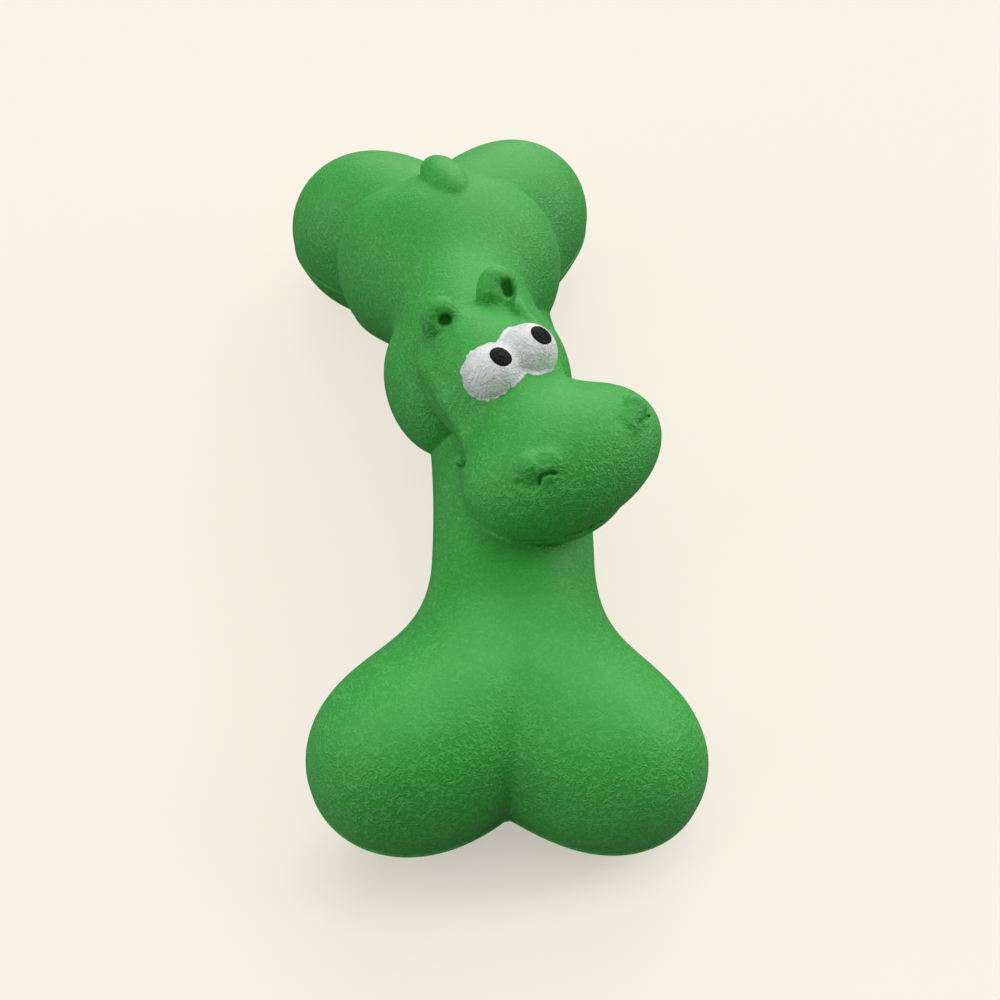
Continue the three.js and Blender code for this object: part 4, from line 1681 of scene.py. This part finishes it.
@dataclass
class Studio:
    """A cream floor, soft boxes over it and on all its sides, and the camera."""

    bench: Bench
    focal_px: float = 966.378
    image_px: float = 1000.0
    sensor_mm: float = 36.0
    elevation: float = 57.0
    azimuth: float = -8.996
    roll: float = 2.756
    distance: float = 191.151
    aim: tuple[float, float] = (5.016, -14.243)
    lamps: tuple[Softbox, ...] = (
        Softbox("top_box", (0.0, 0.15, 1.0), 0.68), Softbox("back_box", (0.2, 0.85, 0.5), 1.55),
        Softbox("left_box", (-0.9, -0.05, 0.4), 1.2), Softbox("right_box", (0.85, 0.2, 0.36), 1.35),
        Softbox("front_box", (0.0, -0.4, 0.92), 0.27))
    sky: float = 0.03
    floor_size: float = 6.0  # in metres
    clip: tuple[float, float] = (0.005, 20.0)  # in metres
    paper: BackdropPaper = BackdropPaper()

    def build(self) -> None:
        """Adds the floor, the lights and the camera."""
        self.add_floor()
        self.add_lights()
        self.add_camera()

    def add_floor(self) -> None:
        """Adds the floor at the height that the toy lies on."""
        bpy.ops.object.select_all(action="DESELECT")
        bpy.ops.mesh.primitive_plane_add(size=self.floor_size, location=(0, 0, 0))
        floor = bpy.context.active_object
        floor.name = "floor"
        floor.data.materials.append(self.paper.build(self.sky + sum(lamp.on_floor() for lamp in self.lamps)))

    def add_lights(self) -> None:
        """Adds the soft boxes and the even light of the room."""
        for lamp in self.lamps:
            lamp.build()
        world = bpy.data.worlds.new("room")
        bpy.context.scene.world = world
        world.use_nodes = True
        tree = world.node_tree
        tree.nodes.clear()
        seen = add_node(tree, "ShaderNodeLightPath")
        tone = linear(self.paper.colour)
        room = add_node(tree, "ShaderNodeBackground", {"Color": (1, 1, 1, 1), "Strength": self.sky})
        shown = add_node(tree, "ShaderNodeBackground", {"Color": tone, "Strength": 1.0})
        both = add_node(tree, "ShaderNodeMixShader", {
            0: seen.outputs["Is Camera Ray"], 1: room.outputs[0], 2: shown.outputs[0]})
        add_node(tree, "ShaderNodeOutputWorld", {"Surface": both.outputs[0]})

    def add_camera(self) -> None:
        """Adds the camera at the photograph's place."""
        rise, side, lean = (math.radians(v) for v in (self.elevation, self.azimuth, self.roll))
        back = Vector((math.sin(side) * math.cos(rise), -math.cos(side) * math.cos(rise), math.sin(rise)))
        level = Vector((math.cos(side), math.sin(side), 0))
        upright = back.cross(level)
        right = level * math.cos(lean) + upright * math.sin(lean)
        up = upright * math.cos(lean) - level * math.sin(lean)
        centre = np.array([*self.aim, 0.0]) + np.array(back) * self.distance
        place = self.bench.to_frame(centre)
        data = bpy.data.cameras.new("camera")
        data.sensor_fit = "HORIZONTAL"
        data.sensor_width = self.sensor_mm
        data.lens = self.sensor_mm * self.focal_px / self.image_px
        data.clip_start, data.clip_end = self.clip
        camera = bpy.data.objects.new("camera", data)
        camera.matrix_world = Matrix(((right.x, up.x, back.x, place[0]), (right.y, up.y, back.y, place[1]),
                                      (right.z, up.z, back.z, place[2]), (0, 0, 0, 1)))
        bpy.context.scene.collection.objects.link(camera)
        bpy.context.scene.camera = camera


def report(piece: bpy.types.Object) -> None:
    """Logs a piece's name and its number of triangles.

    Args:
        piece: the object to count.
    """
    corners = len(piece.data.loops)
    LOG.info("%s: %d triangles", piece.name, corners - 2 * len(piece.data.polygons))


def main() -> None:
    """Builds the toy and its studio, and reports each piece."""
    logging.basicConfig(level=logging.INFO, format="%(relativeCreated)6d ms  %(message)s")
    low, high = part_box("squeaker_housing")
    origin = ((low[0] + high[0]) / 2 / MM - SQUEAKER_X, (low[1] + high[1]) / 2 / MM, REST_HEIGHT)
    bench = Bench(origin)
    skin = Skin(bench, ToyForm())
    skin.build()
    report(skin.piece)
    report(skin.lining)
    rubber = MouldedRubber().build()
    for moulding in (Moulding(bench, "front_rubber", "front_shell", Keep.ABOVE),
                     BackMoulding(bench, "back_rubber", "back_shell", Keep.BELOW, lip=0.3)):
        moulding.build(skin)
        moulding.dress(rubber)
        report(moulding.piece)
    eyes = Eyes(bench, skin.form)
    eyes.build(skin)
    eyes.dress(BrushedPaint("white_vinyl_paint", "#FAFBFB", "#E4E8E6").build(),
               BrushedPaint("black_vinyl_paint", "#060607", "#0D0D0F", roughness=0.42, specular=0.12).build())
    for coat in eyes.coats:
        report(coat.piece)
    drop(skin.piece)
    drop(skin.lining)
    squeaker = Squeaker(bench)
    squeaker.build()
    squeaker.dress(MouldedPolyethylene().build())
    report(squeaker.piece)
    Studio(bench).build()
    bpy.context.scene.view_settings.view_transform = "Standard"


if __name__ == "__main__":
    main()
